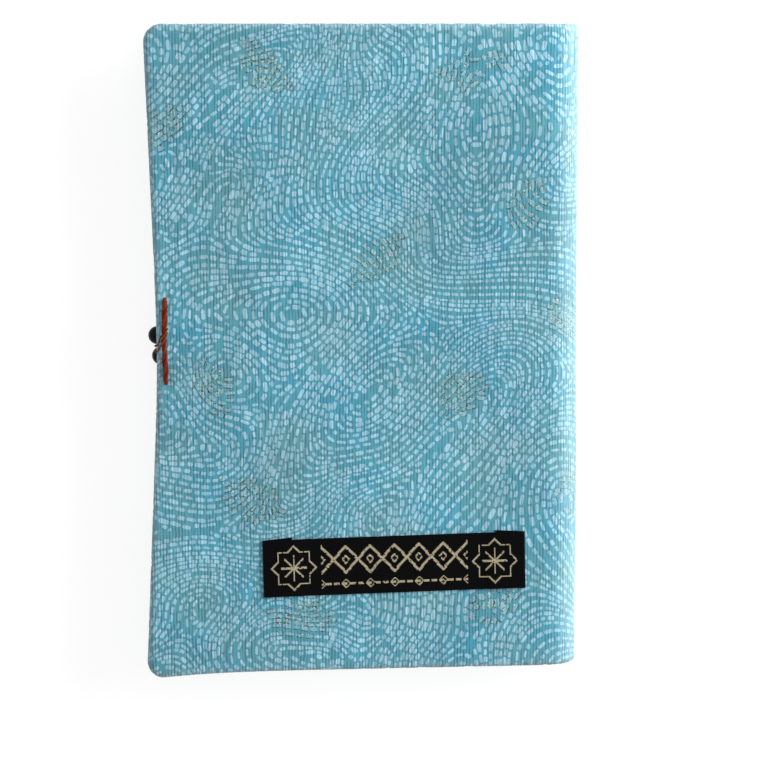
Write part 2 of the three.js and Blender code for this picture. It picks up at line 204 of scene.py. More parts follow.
floor_mesh = bpy.data.meshes.new("floor")
half_floor = FLOOR_HALF * MM
floor_corners = [(x * half_floor, y * half_floor, 0) for x, y in ((-1, -1), (1, -1), (1, 1), (-1, 1))]
floor_mesh.from_pydata(floor_corners, [], [(0, 1, 2, 3)])
floor_mesh.materials.append(card)
floor = new_object("floor", floor_mesh)
print("window", WINDOW_WATTS, "W, sky", SKY_LEVEL)

# %% [markdown]
# ## The shape of a cover
#
# The covers were cut and sewn by hand, so their fore edge slants a little and the closure draws it in. The
# same few sizes that shape the solids give that edge here, as a formula, so that it is smooth at any step.
# The corner at the tail of the back cover also sags into a small ear.

# %% The shape of a cover
CORNER_RADIUS = 4.2
TAIL_FLARE = 1.2
DRAW_IN = {"back": 2.6, "front": 3.9}
SET_BACK = {"back": 0.0, "front": 1.7}
DRAW_IN_Y = -1.5
DRAW_IN_ROUND = 12
FORE_X = -spine_high[0]
EAR_DROP = {"back": 1.3, "front": 0.0}
EAR_FADE_TO_SPINE = 4
EAR_FADE_TO_HEAD = 2


def fore_edge(y, cover):
    """x of the fore edge at a height on the book."""
    y = np.asarray(y, float)
    reach = HEAD_Y - CORNER_RADIUS
    limit = np.where(y > DRAW_IN_Y, reach - DRAW_IN_Y, reach + DRAW_IN_Y)
    longest = np.hypot(limit, DRAW_IN_ROUND)
    share = (longest - np.hypot(y - DRAW_IN_Y, DRAW_IN_ROUND)) / (longest - DRAW_IN_ROUND)
    flare = TAIL_FLARE * (0.5 - y / (2 * HEAD_Y))
    return FORE_X - flare + SET_BACK[cover] + DRAW_IN[cover] * np.maximum(share, 0)


def with_ear(points, cover):
    """The fore corner at the tail, sagging past the square."""
    towards_fore = np.clip(points[:, 0] / FORE_X, 0, None) ** EAR_FADE_TO_SPINE
    towards_tail = np.clip(-points[:, 1] / HEAD_Y, 0, None) ** EAR_FADE_TO_HEAD
    points[:, 1] -= EAR_DROP[cover] * towards_fore * towards_tail
    return points


for cover_name in ("back", "front"):
    print(cover_name, "fore edge at the closure", np.round(fore_edge(DRAW_IN_Y, cover_name), 2))

# %% [markdown]
# ## Outer cloth
#
# One piece of cotton goes round the front, the spine and the back, and is turned in along three sides. Here
# it is thought of as flat first. Each point of the flat cloth is then laid on the book: straight along the
# cover, a quarter turn round the spine, and over the rim to the inside. It is made in two halves that meet
# in the middle of the spine, one for each cover.

# %% The bend of the spine
BEND_START = FOLD_X - 3.5
BEND_STEPS = 400
BEND_POWERS = np.linspace(1, 2, 201)


def spine_bend():
    """Half the spine in profile: how far along the cloth, x, z, and how far it has turned.

    It tightens slowly. How slowly is chosen so that it ends in the middle of the spine.
    """
    run, fall = FOLD_X + SPINE_RADIUS - BEND_START, SPINE_RADIUS
    share = (np.arange(BEND_STEPS) + 0.5) / BEND_STEPS
    bends = [math.pi / 2 * share**power for power in BEND_POWERS]
    turned = min(bends, key=lambda angles: abs(np.cos(angles).sum() / np.sin(angles).sum() - run / fall))
    step = run / np.cos(turned).sum()
    along = BEND_START + step * np.arange(BEND_STEPS + 1)
    x = BEND_START + np.concatenate([[0], np.cumsum(np.cos(turned))]) * step
    z = BOOK_TOP - np.concatenate([[0], np.cumsum(np.sin(turned))]) * step
    return along, x, z, np.concatenate([[0], (turned[1:] + turned[:-1]) / 2, [math.pi / 2]])


bend_along, bend_x, bend_z, bend_turned = spine_bend()
SPINE_MIDDLE = bend_along[-1]
print("the cloth turns for", round(SPINE_MIDDLE - BEND_START, 1), "mm up to the middle of the spine")

# %% [markdown]
# Cloth over soft stiffening is never quite flat. A texture could pretend that with shading, but it would
# vanish at the edge of the book. So two sets of slow waves go into the mesh itself, and the two ends of the
# bar pull dimples into it.

# %% Waves and dimples
bar_low, bar_high = box_mm("closure_bar")
BAR_DIAMETER = 1.3
BAR_X = bar_high[0] - BAR_DIAMETER / 2
BAR_ENDS = (bar_high[1] - BAR_DIAMETER / 2, bar_low[1] + BAR_DIAMETER / 2)
DIMPLE_DEPTH = 0.4
DIMPLE_RADIUS = 1.0
WAVE_HEIGHT = 0.09
LONG_WAVE = (13, 17)
LONG_WAVE_START = (0.8, 0.4)
SHORT_WAVE = (5.5, 9)
SHORT_WAVE_START = 1.0


def swell(s, t, cover):
    """Soft waves, and dimples where the bar goes in. The table presses the front's waves flat."""
    along = np.sin(s / LONG_WAVE[0] + LONG_WAVE_START[0])
    across = np.sin(t / LONG_WAVE[1] + LONG_WAVE_START[1])
    height = WAVE_HEIGHT * along * across
    height = height + WAVE_HEIGHT / 2 * np.sin(s / SHORT_WAVE[0] - t / SHORT_WAVE[1] + SHORT_WAVE_START)
    if cover == "front":
        return np.minimum(height, 0)
    for end in BAR_ENDS:
        distance = np.hypot(s - BAR_X, t - end)
        height = height - DIMPLE_DEPTH * np.exp(-((distance / DIMPLE_RADIUS) ** 2))
    return height


print("the back swells by", np.round(swell(0.0, 0.0, "back"), 3), "mm in its middle")

# %% [markdown]
# At the rim the cloth turns over in a half circle and lies flat again inside. How far a point lies past the
# start of the rim, and in which direction, is all that is needed to bend it. Round a corner that direction
# points away from the corner's middle.

# %% Laying flat cloth on the book
CLOTH_THICKNESS = 0.35
RIM = 1.2
LAP = 1.3
TURN_IN = math.pi * RIM + LAP
TINY = 1e-9
INNER_CORNER = CORNER_RADIUS - RIM
CORNER_Y = HEAD_Y - CORNER_RADIUS
RIM_Y = HEAD_Y - RIM


def past_rim(s, t, cover):
    """How far a point of the flat cloth lies past the start of the rim, and in which direction."""
    edge = fore_edge(np.clip(t, -CORNER_Y, CORNER_Y), cover) + RIM
    beyond_fore = edge - s
    beyond_end = np.abs(t) - RIM_Y
    from_x = s - (edge + INNER_CORNER)
    from_y = np.abs(t) - CORNER_Y
    corner = (from_x < 0) & (from_y > 0)
    distance = np.maximum(np.hypot(from_x, from_y), TINY)
    over_fore = beyond_fore > beyond_end
    beyond = np.where(corner, distance - INNER_CORNER, np.maximum(beyond_fore, beyond_end))
    way_x = np.where(corner, from_x / distance, np.where(over_fore, -1.0, 0.0))
    way_y = np.where(corner, from_y / distance, np.where(over_fore, 0.0, 1.0)) * np.sign(t)
    return beyond, way_x, way_y


def lay_on_book(s, t, cover, depth=0.0):
    """Flat cloth to the book: s runs from fore edge to spine, t from tail to head, depth into the cloth."""
    beyond, way_x, way_y = past_rim(s, t, cover)
    on_rim = np.maximum(beyond, 0)
    base_s = s - way_x * on_rim
    base_t = t - way_y * on_rim
    turned = np.clip(on_rim / RIM, 0, math.pi)
    lap = np.maximum(on_rim - math.pi * RIM, 0)
    outward = (RIM - depth) * np.sin(turned) - lap
    lift = swell(base_s, base_t, cover) * np.clip(-beyond / RIM, 0, 1)
    drop = RIM - (RIM - depth) * np.cos(turned) - lift
    bend = np.interp(base_s, bend_along, bend_turned)
    x = np.where(base_s < BEND_START, base_s, np.interp(base_s, bend_along, bend_x))
    x = x - drop * np.sin(bend) + way_x * outward
    y = base_t + way_y * outward
    z = np.interp(base_s, bend_along, bend_z) - drop * np.cos(bend)
    points = with_ear(np.stack([x, y, z], 1), cover)
    if cover == "front":
        points[:, 2] = BOOK_TOP - points[:, 2]
    return points


print("middle of the spine at", np.round(lay_on_book(np.array([SPINE_MIDDLE]), np.zeros(1), "back")[0], 2))

# %% Cutting the half cloth
CUT_STEP = 1.5
CUT_CORNER_POINTS = 13


def flat_outline(cover):
    """The half cloth as it is cut: fore edge, round corners, head and tail, and the middle of the spine."""
    corner_x = [float(fore_edge(side * CORNER_Y, cover)) + CORNER_RADIUS for side in (-1, 1)]
    radius = INNER_CORNER + TURN_IN
    end_y = CORNER_Y + radius
    points = [(x, -end_y) for x in np.arange(SPINE_MIDDLE, corner_x[0], -CUT_STEP)]
    for angle in np.linspace(-math.pi / 2, -math.pi, CUT_CORNER_POINTS):
        points.append((corner_x[0] + radius * math.cos(angle), -CORNER_Y + radius * math.sin(angle)))
    for y in np.arange(-CORNER_Y + CUT_STEP, CORNER_Y, CUT_STEP):
        points.append((float(fore_edge(y, cover)) + RIM - TURN_IN, y))
    for angle in np.linspace(math.pi, math.pi / 2, CUT_CORNER_POINTS):
        points.append((corner_x[1] + radius * math.cos(angle), CORNER_Y + radius * math.sin(angle)))
    points += [(x, end_y) for x in np.arange(corner_x[1] + CUT_STEP, SPINE_MIDDLE, CUT_STEP)]
    points += [(SPINE_MIDDLE, y) for y in np.arange(end_y, -end_y, -CUT_STEP)]
    return np.array(points)


back_cut = flat_outline("back")
print("half cloth, flat:", np.round(np.ptp(back_cut, axis=0), 1), "mm")

# %% [markdown]
# ## The print
#
# The cotton is printed with short pale dashes that flow like running stitches. They follow the level lines
# of an imaginary land of hills and hollows, which close into rings round every top. Rows are started one
# row's width beside a finished one and stop where they come too close to another. The rows are finer in
# some places and wider in others, as if drawn with several pens. Then each row is cut into dashes. The
# hills are drawn at random from a fixed seed, so the print comes out alike each time. A striped texture
# could be bent into swirls, but its stripes would crowd and part, where printed rows keep their distance.
# So each row is walked step by step.

# %% Hills and hollows
PRINT_SEED = 20
PRINT_HALF_WIDTH = 112.0
PRINT_HALF_HEIGHT = 82.0
HILL_SPACING = 25.0
HILL_SHIFT = 0.38
HILL_RADIUS = (7.5, 13.0)
HILL_STRETCH = (1.0, 1.7)
LAND_SLOPE = (0.12, 0.1)
FIELD_STEP = 0.5
draw = random.Random(PRINT_SEED)


def row_directions():
    """Which way the rows run, on a grid over the whole cloth: across the slope of the hills."""
    x, y = np.meshgrid(
        np.arange(-PRINT_HALF_WIDTH, PRINT_HALF_WIDTH + FIELD_STEP, FIELD_STEP),
        np.arange(-PRINT_HALF_HEIGHT, PRINT_HALF_HEIGHT + FIELD_STEP, FIELD_STEP),
        indexing="ij",
    )
    land = LAND_SLOPE[0] * x + LAND_SLOPE[1] * y
    columns = round(2 * PRINT_HALF_WIDTH / HILL_SPACING) + 1
    lines = round(2 * PRINT_HALF_HEIGHT / HILL_SPACING) + 1
    for column in range(columns):
        for line in range(lines):
            shift_x = draw.uniform(-HILL_SHIFT, HILL_SHIFT)
            shift_y = draw.uniform(-HILL_SHIFT, HILL_SHIFT)
            top_x = (column + shift_x + (line % 2) / 2) * HILL_SPACING - PRINT_HALF_WIDTH
            top_y = (line + shift_y) * HILL_SPACING - PRINT_HALF_HEIGHT
            radius = draw.uniform(*HILL_RADIUS)
            stretch = draw.uniform(*HILL_STRETCH)
            turn = draw.uniform(0, math.pi)
            height = draw.choice((-1, 1)) * radius
            along = (x - top_x) * math.cos(turn) + (y - top_y) * math.sin(turn)
            across = (y - top_y) * math.cos(turn) - (x - top_x) * math.sin(turn)
            spread = (along / stretch) ** 2 + (across * stretch) ** 2
            land = land + height * np.exp(-spread / (2 * radius**2))
    slope_x, slope_y = np.gradient(land, FIELD_STEP)
    return np.arctan2(slope_x, -slope_y)


directions = row_directions()


def heading(x, y):
    """The rows' direction at a place, or None off the cloth."""
    i = int((x + PRINT_HALF_WIDTH) / FIELD_STEP)
    k = int((y + PRINT_HALF_HEIGHT) / FIELD_STEP)
    if 0 <= i < directions.shape[0] and 0 <= k < directions.shape[1]:
        return directions[i, k]
    return None


print("directions on a grid of", directions.shape)

# %% How close the rows lie
ROW_SPACING = 1.26
ROW_SPACING_VARIES = 0.2
PEN_PATCH = (15, 17)
PEN_SWAY = (0.6, 13)
PEN_SHIFT = 1.1


def patches(height, x, y, patch, sway, shift):
    """Swaying patches over the cloth, from minus to plus a height. Patch and sway are in millimetres."""
    return height * math.sin(x / patch[0] + sway[0] * math.sin(y / sway[1])) * math.sin(y / patch[1] + shift)


def row_scale(x, y):
    """How much wider or finer than usual the rows are at a place."""
    return 1 + patches(ROW_SPACING_VARIES, x, y, PEN_PATCH, PEN_SWAY, PEN_SHIFT)


def cell_of(x, y):
    cell = ROW_SPACING * (1 + ROW_SPACING_VARIES)
    return int(x // cell), int(y // cell)


def note(place, places):
    """Sorts a place into its cell."""
    places.setdefault(cell_of(*place), []).append(place)


def crowded(x, y, reach, places):
    """Whether a place lies within reach of one of the places, which are sorted into cells."""
    column, line = cell_of(x, y)
    for i in (column - 1, column, column + 1):
        for k in (line - 1, line, line + 1):
            for other_x, other_y in places.get((i, k), ()):
                if (other_x - x) ** 2 + (other_y - y) ** 2 < reach * reach:
                    return True
    return False


print("rows", ROW_SPACING, "mm apart, give or take", round(ROW_SPACING * ROW_SPACING_VARIES, 2), "mm")

# %% Rows of the print
ROW_CLOSEST = 0.74
ROW_START = 0.9
ROW_STEP = 0.45
ROW_SHARPEST_TURN = 0.6
ROW_OWN_POINTS = 6
ROW_FEWEST_POINTS = 4
ROW_STARTS_EVERY = 3
FIRST_ROW = (0.3, 0.2)


def follow(x, y, way, taken, other_end=()):
    """One end of a row: steps on until it leaves the cloth, turns sharply or comes too close to a row.

    It may be near its own last few points, and near the first few of its other end.
    """
    points = []
    own = {}
    for place in other_end[ROW_OWN_POINTS:]:
        note(place, own)
    angle = heading(x, y)
    ahead = Vector((way * math.cos(angle), way * math.sin(angle)))
    while True:
        angle = heading(x + ahead.x * ROW_STEP / 2, y + ahead.y * ROW_STEP / 2)
        if angle is None:
            return points
        turned = Vector((math.cos(angle), math.sin(angle)))
        if turned.dot(ahead) < 0:
            turned.negate()
        if turned.dot(ahead) < ROW_SHARPEST_TURN:
            return points
        ahead = turned
        x, y = x + ahead.x * ROW_STEP, y + ahead.y * ROW_STEP
        reach = ROW_CLOSEST * ROW_SPACING * row_scale(x, y)
        if heading(x, y) is None or crowded(x, y, reach, taken) or crowded(x, y, reach, own):
            return points
        points.append((x, y))
        if len(points) > ROW_OWN_POINTS:
            note(points[-ROW_OWN_POINTS - 1], own)


def print_rows():
    """Evenly spaced rows over the whole cloth, each a list of points."""
    rows = []
    taken = {}
    starts = [FIRST_ROW]
    for x, y in starts:
        if heading(x, y) is None or crowded(x, y, ROW_START * ROW_SPACING * row_scale(x, y), taken):
            continue
        one_end = follow(x, y, -1, taken)
        row = one_end[::-1] + [(x, y)] + follow(x, y, 1, taken, one_end)
        for place in row:
            note(place, taken)
        if len(row) < ROW_FEWEST_POINTS:
            continue
        rows.append(row)
        for place_x, place_y in row[::ROW_STARTS_EVERY]:
            angle = heading(place_x, place_y)
            apart = ROW_SPACING * row_scale(place_x, place_y)
            across = (-math.sin(angle) * apart, math.cos(angle) * apart)
            starts.append((place_x + across[0], place_y + across[1]))
            starts.append((place_x - across[0], place_y - across[1]))
    return rows


rows = print_rows()
print(len(rows), "rows of print")

# %% [markdown]
# Each row becomes a string of dashes of uneven length and strength, as if drawn by hand. A few leaf-shaped
# patches are picked out in gold: there each dash gets a thin metallic line along its two sides, painted
# pale on the upper side as a highlight and left dark on the lower one, and a wash of gold between them.

# %% Gold leaves
GOLD_LEAVES = 24
GOLD_LEAF_LENGTH = (14.0, 19.0)
GOLD_LEAF_WIDTH = (8.0, 11.0)
GOLD_LEAF_APART = 26.0
GOLD_LEAF_BOW = 0.03
GOLD_LEAF_MARGIN = (10, 6)


def gold_leaves():
    """x, y, length, width, turn and bow of each leaf. No two lie close together."""
    leaves = []
    reach_x = PRINT_HALF_WIDTH - GOLD_LEAF_MARGIN[0]
    reach_y = HEAD_Y - GOLD_LEAF_MARGIN[1]
    while len(leaves) < GOLD_LEAVES:
        x = draw.uniform(-reach_x, reach_x)
        y = draw.uniform(-reach_y, reach_y)
        if all(math.hypot(x - leaf[0], y - leaf[1]) > GOLD_LEAF_APART for leaf in leaves):
            size = draw.uniform(*GOLD_LEAF_LENGTH), draw.uniform(*GOLD_LEAF_WIDTH)
            turn = draw.uniform(0, math.pi)
            leaves.append((x, y, *size, turn, draw.uniform(-GOLD_LEAF_BOW, GOLD_LEAF_BOW)))
    return leaves


def on_gold_leaf(place, leaves):
    for x, y, length, width, turn, bow in leaves:
        along = (place[0] - x) * math.cos(turn) + (place[1] - y) * math.sin(turn)
        across = (place[1] - y) * math.cos(turn) - (place[0] - x) * math.sin(turn) - bow * along**2
        share = 2 * along / length
        if abs(share) < 1 and abs(across) < width / 2 * (1 - share**2):
            return True
    return False


leaves = gold_leaves()
print(len(leaves), "gold leaves")

# %% Dashes
DASH_LENGTH = (1.0, 2.3)
DASH_GAP = (0.3, 0.6)
DASH_HALF_WIDTH = (0.3, 0.5)
DASH_STRENGTH = (0.62, 1.0)
DASH_SHORTEST = 0.6
DASH_END = 0.5
DASH_MARKS = np.array([0, 0.16, 0.84, 1])
DASH_ASKEW = math.radians(7)
SPARSE_GAP = 0.5
SPARSE_PATCH = (8, 10)
SPARSE_SWAY = (1.7, 19)
SPARSE_SHIFT = 0.5
GOLD_LINE = 0.21
GOLD_LEAF_INK = 0.65


def dash_outline(line, half_width, margin=0.0):
    """A dash with blunt ends along a short line."""
    tangent = np.gradient(line, axis=0)
    tangent /= np.linalg.norm(tangent, axis=1)[:, None]
    normal = np.stack([-tangent[:, 1], tangent[:, 0]], 1)
    widths = np.full((len(DASH_MARKS), 1), half_width + margin)
    widths[[0, -1]] = half_width * DASH_END + margin
    middle = line.copy()
    middle[0] -= tangent[0] * margin
    middle[-1] += tangent[-1] * margin
    return np.concatenate([middle + normal * widths, (middle - normal * widths)[::-1]])


def sparseness(x, y):
    """How much wider the gaps are at a place: most of the cloth is 0, a few patches come up to 1."""
    return max(0, patches(1, x, y, SPARSE_PATCH, SPARSE_SWAY, SPARSE_SHIFT))


def askew(line, angle):
    """A short line, turned a little round its middle."""
    middle = line.mean(0)
    turn = np.array([[math.cos(angle), math.sin(angle)], [-math.sin(angle), math.cos(angle)]])
    return middle + (line - middle) @ turn


def cut_into_dashes(rows, leaves):
    """(outline, gold outline or None, strength of the white ink) of every dash."""
    dashes = []
    for row in rows:
        points = np.array(row)
        along = np.concatenate([[0], np.cumsum(np.hypot(*np.diff(points, axis=0).T))])
        at = draw.uniform(0, DASH_GAP[1])
        while at < along[-1]:
            start = [np.interp(at, along, points[:, k]) for k in (0, 1)]
            scale = row_scale(*start)
            length = min(scale * draw.uniform(*DASH_LENGTH), along[-1] - at)
            half_width = scale * draw.uniform(*DASH_HALF_WIDTH)
            strength = draw.uniform(*DASH_STRENGTH)
            if length > DASH_SHORTEST:
                marks = at + length * DASH_MARKS
                line = np.stack([np.interp(marks, along, points[:, k]) for k in (0, 1)], 1)
                line = askew(line, draw.uniform(-DASH_ASKEW, DASH_ASKEW))
                outline = dash_outline(line, half_width)
                gold_outline = None
                if on_gold_leaf(line.mean(0), leaves):
                    gold_outline = dash_outline(line, half_width, GOLD_LINE)
                    strength *= GOLD_LEAF_INK
                dashes.append((outline, gold_outline, strength))
            at += length + scale * draw.uniform(*DASH_GAP) * (1 + SPARSE_GAP * sparseness(*start))
    return dashes


dashes = cut_into_dashes(rows, leaves)
print(len(dashes), "dashes,", sum(dash[1] is not None for dash in dashes), "with a gold line")

# %% [markdown]
# ## Printed cotton
#
# Quilting cotton is a plain weave of fine spun yarn, printed with pigment. It is matt, with a fuzz of loose
# fibres that catches the light where the cloth turns away. The warp shows as fine lines, painted darker as
# shade in the gaps between the warp threads, and uneven yarns as short streaks along it, which cross the ink
# and the ground alike. Real threads lie about 0.3 mm apart, too fine for this picture, so they are drawn
# coarser here, at about 0.7 mm. The print is in the mesh: each face says how much white or gold ink it
# holds. The gold ink has come off in places, so its lines are broken, and random specks and the upper side
# of each line are painted pale as highlights. The cloth round the spine is painted paler, as light that
# falls on it from the side, and the rims are a little paler where they rub. The dye itself is greener here
# and bluer there.

# %% Helpers for a material
COLOUR_MIX = {"out": "Result", "data_type": "RGBA"}
UV_MAP = "OFBake"
LAYOUT_SPAN = 2 * max(PRINT_HALF_WIDTH, PRINT_HALF_HEIGHT)


def new_material(name):
    """A new material with its node tree and its shader."""
    material = bpy.data.materials.new(name)
    material.use_nodes = True
    return material, material.node_tree, material.node_tree.nodes["Principled BSDF"]


def colours(dark, light):
    """For a mix: its two colours."""
    return {"A": linear(dark), "B": linear(light)}


def over(low, high):
    """For a map range: where its value starts and stops counting."""
    return {"From Min": low, "From Max": high}


def to(low, high):
    """For a map range: what it gives at its start and at its end."""
    return {"To Min": low, "To Max": high}


def flat_millimetres(tree):
    """Where a point lies on the flat cloth, in millimetres, from its UV map."""
    place = add_node(tree, "UVMap", uv_map=UV_MAP)
    return add_node(tree, "VectorMath", {0: place, 1: (LAYOUT_SPAN, LAYOUT_SPAN, 1.0)}, operation="MULTIPLY")


print("the flat cloth is laid out on", LAYOUT_SPAN, "mm")

# %% Plain weave
THREAD_SPACING = 0.72
THREAD_WAVERS = 2.2
THREAD_WAVER_SIZE = 0.6
BAND_SCALE = math.pi / 10
BANDS = {"out": "Fac", "wave_type": "BANDS", "wave_profile": "SIN"}
YARN_NOISE = {"Scale": 1.0, "Detail": 2.0, "Roughness": 0.6}
GAP_SHOWS = (0.32, 0.56)
WARP_GAP_WIDTH = 1.6
WARP_GAP_LENGTH = 6.0
WARP_RELIEF = 0.6
WEFT_RELIEF = 0.15
WEAVE_DEPTH = 0.1
WEAVE_STRENGTH = 0.5


def threads(tree, place, direction):
    """Threads side by side that waver a little: 1 on top of a thread and 0 between two."""
    waver = {"Distortion": THREAD_WAVERS, "Detail Scale": THREAD_WAVER_SIZE}
    side_by_side = {"Vector": place, "Scale": BAND_SCALE / THREAD_SPACING, **waver}
    return add_node(tree, "TexWave", side_by_side, bands_direction=direction, **BANDS)


def streaks(tree, place, width, length):
    """Noise drawn out along the warp."""
    stretch = (1 / width, 1 / length, 1.0)
    stretched = add_node(tree, "VectorMath", {0: place, 1: stretch}, operation="MULTIPLY")
    return add_node(tree, "TexNoise", {"Vector": stretched, **YARN_NOISE}, "Fac")


def warp_lines(tree, place):
    """The gaps between warp threads: 1 in a gap and 0 on a thread. Each gap shows for a few millimetres."""
    warp = threads(tree, place, "X")
    gap = add_node(tree, "Math", {0: 1.0, 1: warp}, operation="SUBTRACT")
    narrow = add_node(tree, "Math", {0: gap, 1: 2.0}, operation="POWER")
    fading = streaks(tree, place, WARP_GAP_WIDTH, WARP_GAP_LENGTH)
    shows = add_node(tree, "MapRange", {"Value": fading, **over(*GAP_SHOWS)})
    return add_node(tree, "Math", {0: narrow, 1: shows}, operation="MULTIPLY")


def weave_bump(tree, place, gaps, streak):
    """Relief of a plain weave: thick yarns stand up most, the warp less, and the weft least."""
    weft = threads(tree, place, "Y")
    ribs = add_node(tree, "Math", {0: gaps, 1: -WARP_RELIEF, 2: streak}, operation="MULTIPLY_ADD")
    relief = add_node(tree, "Math", {0: weft, 1: WEFT_RELIEF, 2: ribs}, operation="MULTIPLY_ADD")
    height = {"Height": relief, "Strength": WEAVE_STRENGTH, "Distance": WEAVE_DEPTH * MM}
    return add_node(tree, "Bump", height)


print("threads drawn", THREAD_SPACING, "mm apart")

# %% Printed cotton
COTTON_ROUGHNESS = 0.85
COTTON_FUZZ = {"Specular IOR Level": 0.3, "Sheen Weight": 0.3, "Sheen Roughness": 0.4}
WARP_STREAK_WIDTH = 0.34
WARP_STREAK_LENGTH = 14.0
COTTON_GREENER = "#62a1ad"
COTTON_BLUER = "#4e9fb8"
COTTON_DASH = "#b4dcee"
COTTON_RUBBED_AND_PAINTED_LIGHT = "#e2f2f6"
DYE_PATCH = 15.0
DYE_SHADE_PATCH = 32.0
DYE_TURNS = (0.34, 0.66)
DYE_TONE = (0.88, 1.12)
# Gold ink: its dull colour, and a pale colour painted on as highlights on random specks and on the upper side
# of each line.
GOLD_INK_AND_PAINTED_HIGHLIGHT = ("#3c4a38", "#e4e6cc")
GOLD_HIGHLIGHT_FLECK = 0.5
GOLD_BREAK = 0.9
GOLD_PAINTED_HIGHLIGHT = 0.13
GOLD_LEFT = (0.42, 0.5)
GOLD_PAINTED_LIT = (0.6, 0.74)
GOLD_METALLIC = 0.4
GOLD_ROUGHNESS = 0.5
NOISE_RANGE = (0.3, 0.7)
INK_TAKEN_UP = (0.6, 1.0)
YARN_TONE = (0.84, 1.14)
# Painted shade: the gaps between the warp threads are coloured darker.
GAP_PAINTED_SHADE = (1.08, 0.58)


def printed_cotton():
    # Printed cotton: matt and softly fuzzy, with ink that sinks unevenly into the yarns, gold with painted
    # highlights, painted shade between the warp threads and painted light round the spine.
    material, tree, shader = new_material("quilting cotton, plain woven and printed")
    place = flat_millimetres(tree)
    white, gold_lines, glint, worn_and_painted_light = (
        add_node(tree, "Attribute", out="Fac", attribute_name=name)
        for name in ("white_ink", "gold_ink", "gold_glint", "worn_and_painted_light")
    )
    breaks, highlight_flecks, dye, depth = (
        add_node(tree, "TexNoise", {"Vector": place, "Scale": 1 / size}, "Fac")
        for size in (GOLD_BREAK, GOLD_HIGHLIGHT_FLECK, DYE_PATCH, DYE_SHADE_PATCH)
    )
    streak = streaks(tree, place, WARP_STREAK_WIDTH, WARP_STREAK_LENGTH)
    gaps = warp_lines(tree, place)
    taken_up = add_node(tree, "MapRange", {"Value": streak, **over(*NOISE_RANGE), **to(*INK_TAKEN_UP)})
    inked = add_node(tree, "Math", {0: white, 1: taken_up}, operation="MULTIPLY")
    # Paler round the spine as painted light, and along the rims from real rubbing.
    rubbed_and_painted_light = add_node(tree, "Math", {0: worn_and_painted_light, 1: taken_up}, operation="MULTIPLY")
    bluer = add_node(tree, "MapRange", {"Value": dye, **over(*DYE_TURNS)})
    left = add_node(tree, "MapRange", {"Value": breaks, **over(*GOLD_LEFT)})
    gold = add_node(tree, "Math", {0: gold_lines, 1: left}, operation="MULTIPLY")
    # Painted highlight: random specks and the upper side of each gold line are coloured pale.
    painted_lit = add_node(tree, "Math", {0: glint, 1: GOLD_PAINTED_HIGHLIGHT, 2: highlight_flecks}, operation="MULTIPLY_ADD")
    bright = add_node(tree, "MapRange", {"Value": painted_lit, **over(*GOLD_PAINTED_LIT)})
    gold_with_painted_highlight = add_node(tree, "Mix", {"Factor": bright, **colours(*GOLD_INK_AND_PAINTED_HIGHLIGHT)}, **COLOUR_MIX)
    colour = linear(COTTON_GREENER)
    for share, layer in (
        (bluer, linear(COTTON_BLUER)),
        (inked, linear(COTTON_DASH)),
        (gold, gold_with_painted_highlight),
        (rubbed_and_painted_light, linear(COTTON_RUBBED_AND_PAINTED_LIGHT)),
    ):
        colour = add_node(tree, "Mix", {"Factor": share, "A": colour, "B": layer}, **COLOUR_MIX)
    tone = add_node(tree, "MapRange", {"Value": streak, **over(*NOISE_RANGE), **to(*YARN_TONE)})
    # Painted shade in the gaps between the warp threads.
    gap_painted_shade = add_node(tree, "MapRange", {"Value": gaps, **to(*GAP_PAINTED_SHADE)})
    dye_tone = add_node(tree, "MapRange", {"Value": depth, **over(*NOISE_RANGE), **to(*DYE_TONE)})
    for other_tone in (gap_painted_shade, dye_tone):
        tone = add_node(tree, "Math", {0: tone, 1: other_tone}, operation="MULTIPLY")
    shaded = add_node(tree, "VectorMath", {0: colour, "Scale": tone}, operation="SCALE")
    polish = add_node(tree, "MapRange", {"Value": gold, **to(COTTON_ROUGHNESS, GOLD_ROUGHNESS)})
    metallic = add_node(tree, "Math", {0: gold, 1: GOLD_METALLIC}, operation="MULTIPLY")
    relief = weave_bump(tree, place, gaps, streak)
    looks = {"Base Color": shaded, "Roughness": polish, "Metallic": metallic, "Normal": relief, **COTTON_FUZZ}
    set_inputs(tree, shader, looks)
    return material


cotton = printed_cotton()
print("material:", cotton.name)

# %% [markdown]
# ## The two halves of the outer cloth
#
# The flat half cloth is divided into triangles that keep to the outline of every dash, so that the print is
# as sharp as the mesh. Extra points lie closer together along the rim and round the spine, where the cloth
# bends. Each triangle then asks whether it lies in a dash or in a gold line. The reverse side lies one
# cloth's thickness further in. It shares the rim's points and has no dashes, so it is divided afresh into
# fewer triangles.

# %% Which ink a place holds
NEAR_DASHES = 4
MOST_CORNERS = 12
GOLD_SIDE_SHARE = 0.75
GOLD_WASH = 0.16
# The side of a gold line that is painted with a highlight.
GOLD_PAINTED_LIT_SIDE = np.array([-0.5, 0.87])


def inside(places, outline):
    """Which places lie inside a closed outline. Places and outline may hold one polygon per place."""
    x, y = places[..., 0, None], places[..., 1, None]
    start = outline
    end = np.roll(outline, -1, axis=-2)
    crosses = (start[..., 1] > y) != (end[..., 1] > y)
    rise = np.where(crosses, end[..., 1] - start[..., 1], 1.0)
    at = start[..., 0] + (y - start[..., 1]) * (end[..., 0] - start[..., 0]) / rise
    return (crosses & (x < at)).sum(-1) % 2 == 1


def nearest_dashes(places, outlines):
    """The few dashes whose middles lie nearest to each place."""
    tree = kdtree.KDTree(len(outlines))
    for i, outline in enumerate(outlines):
        tree.insert((*outline.mean(0), 0), i)
    tree.balance()
    return np.array([[hit[1] for hit in tree.find_n((x, y, 0), NEAR_DASHES)] for x, y in places])


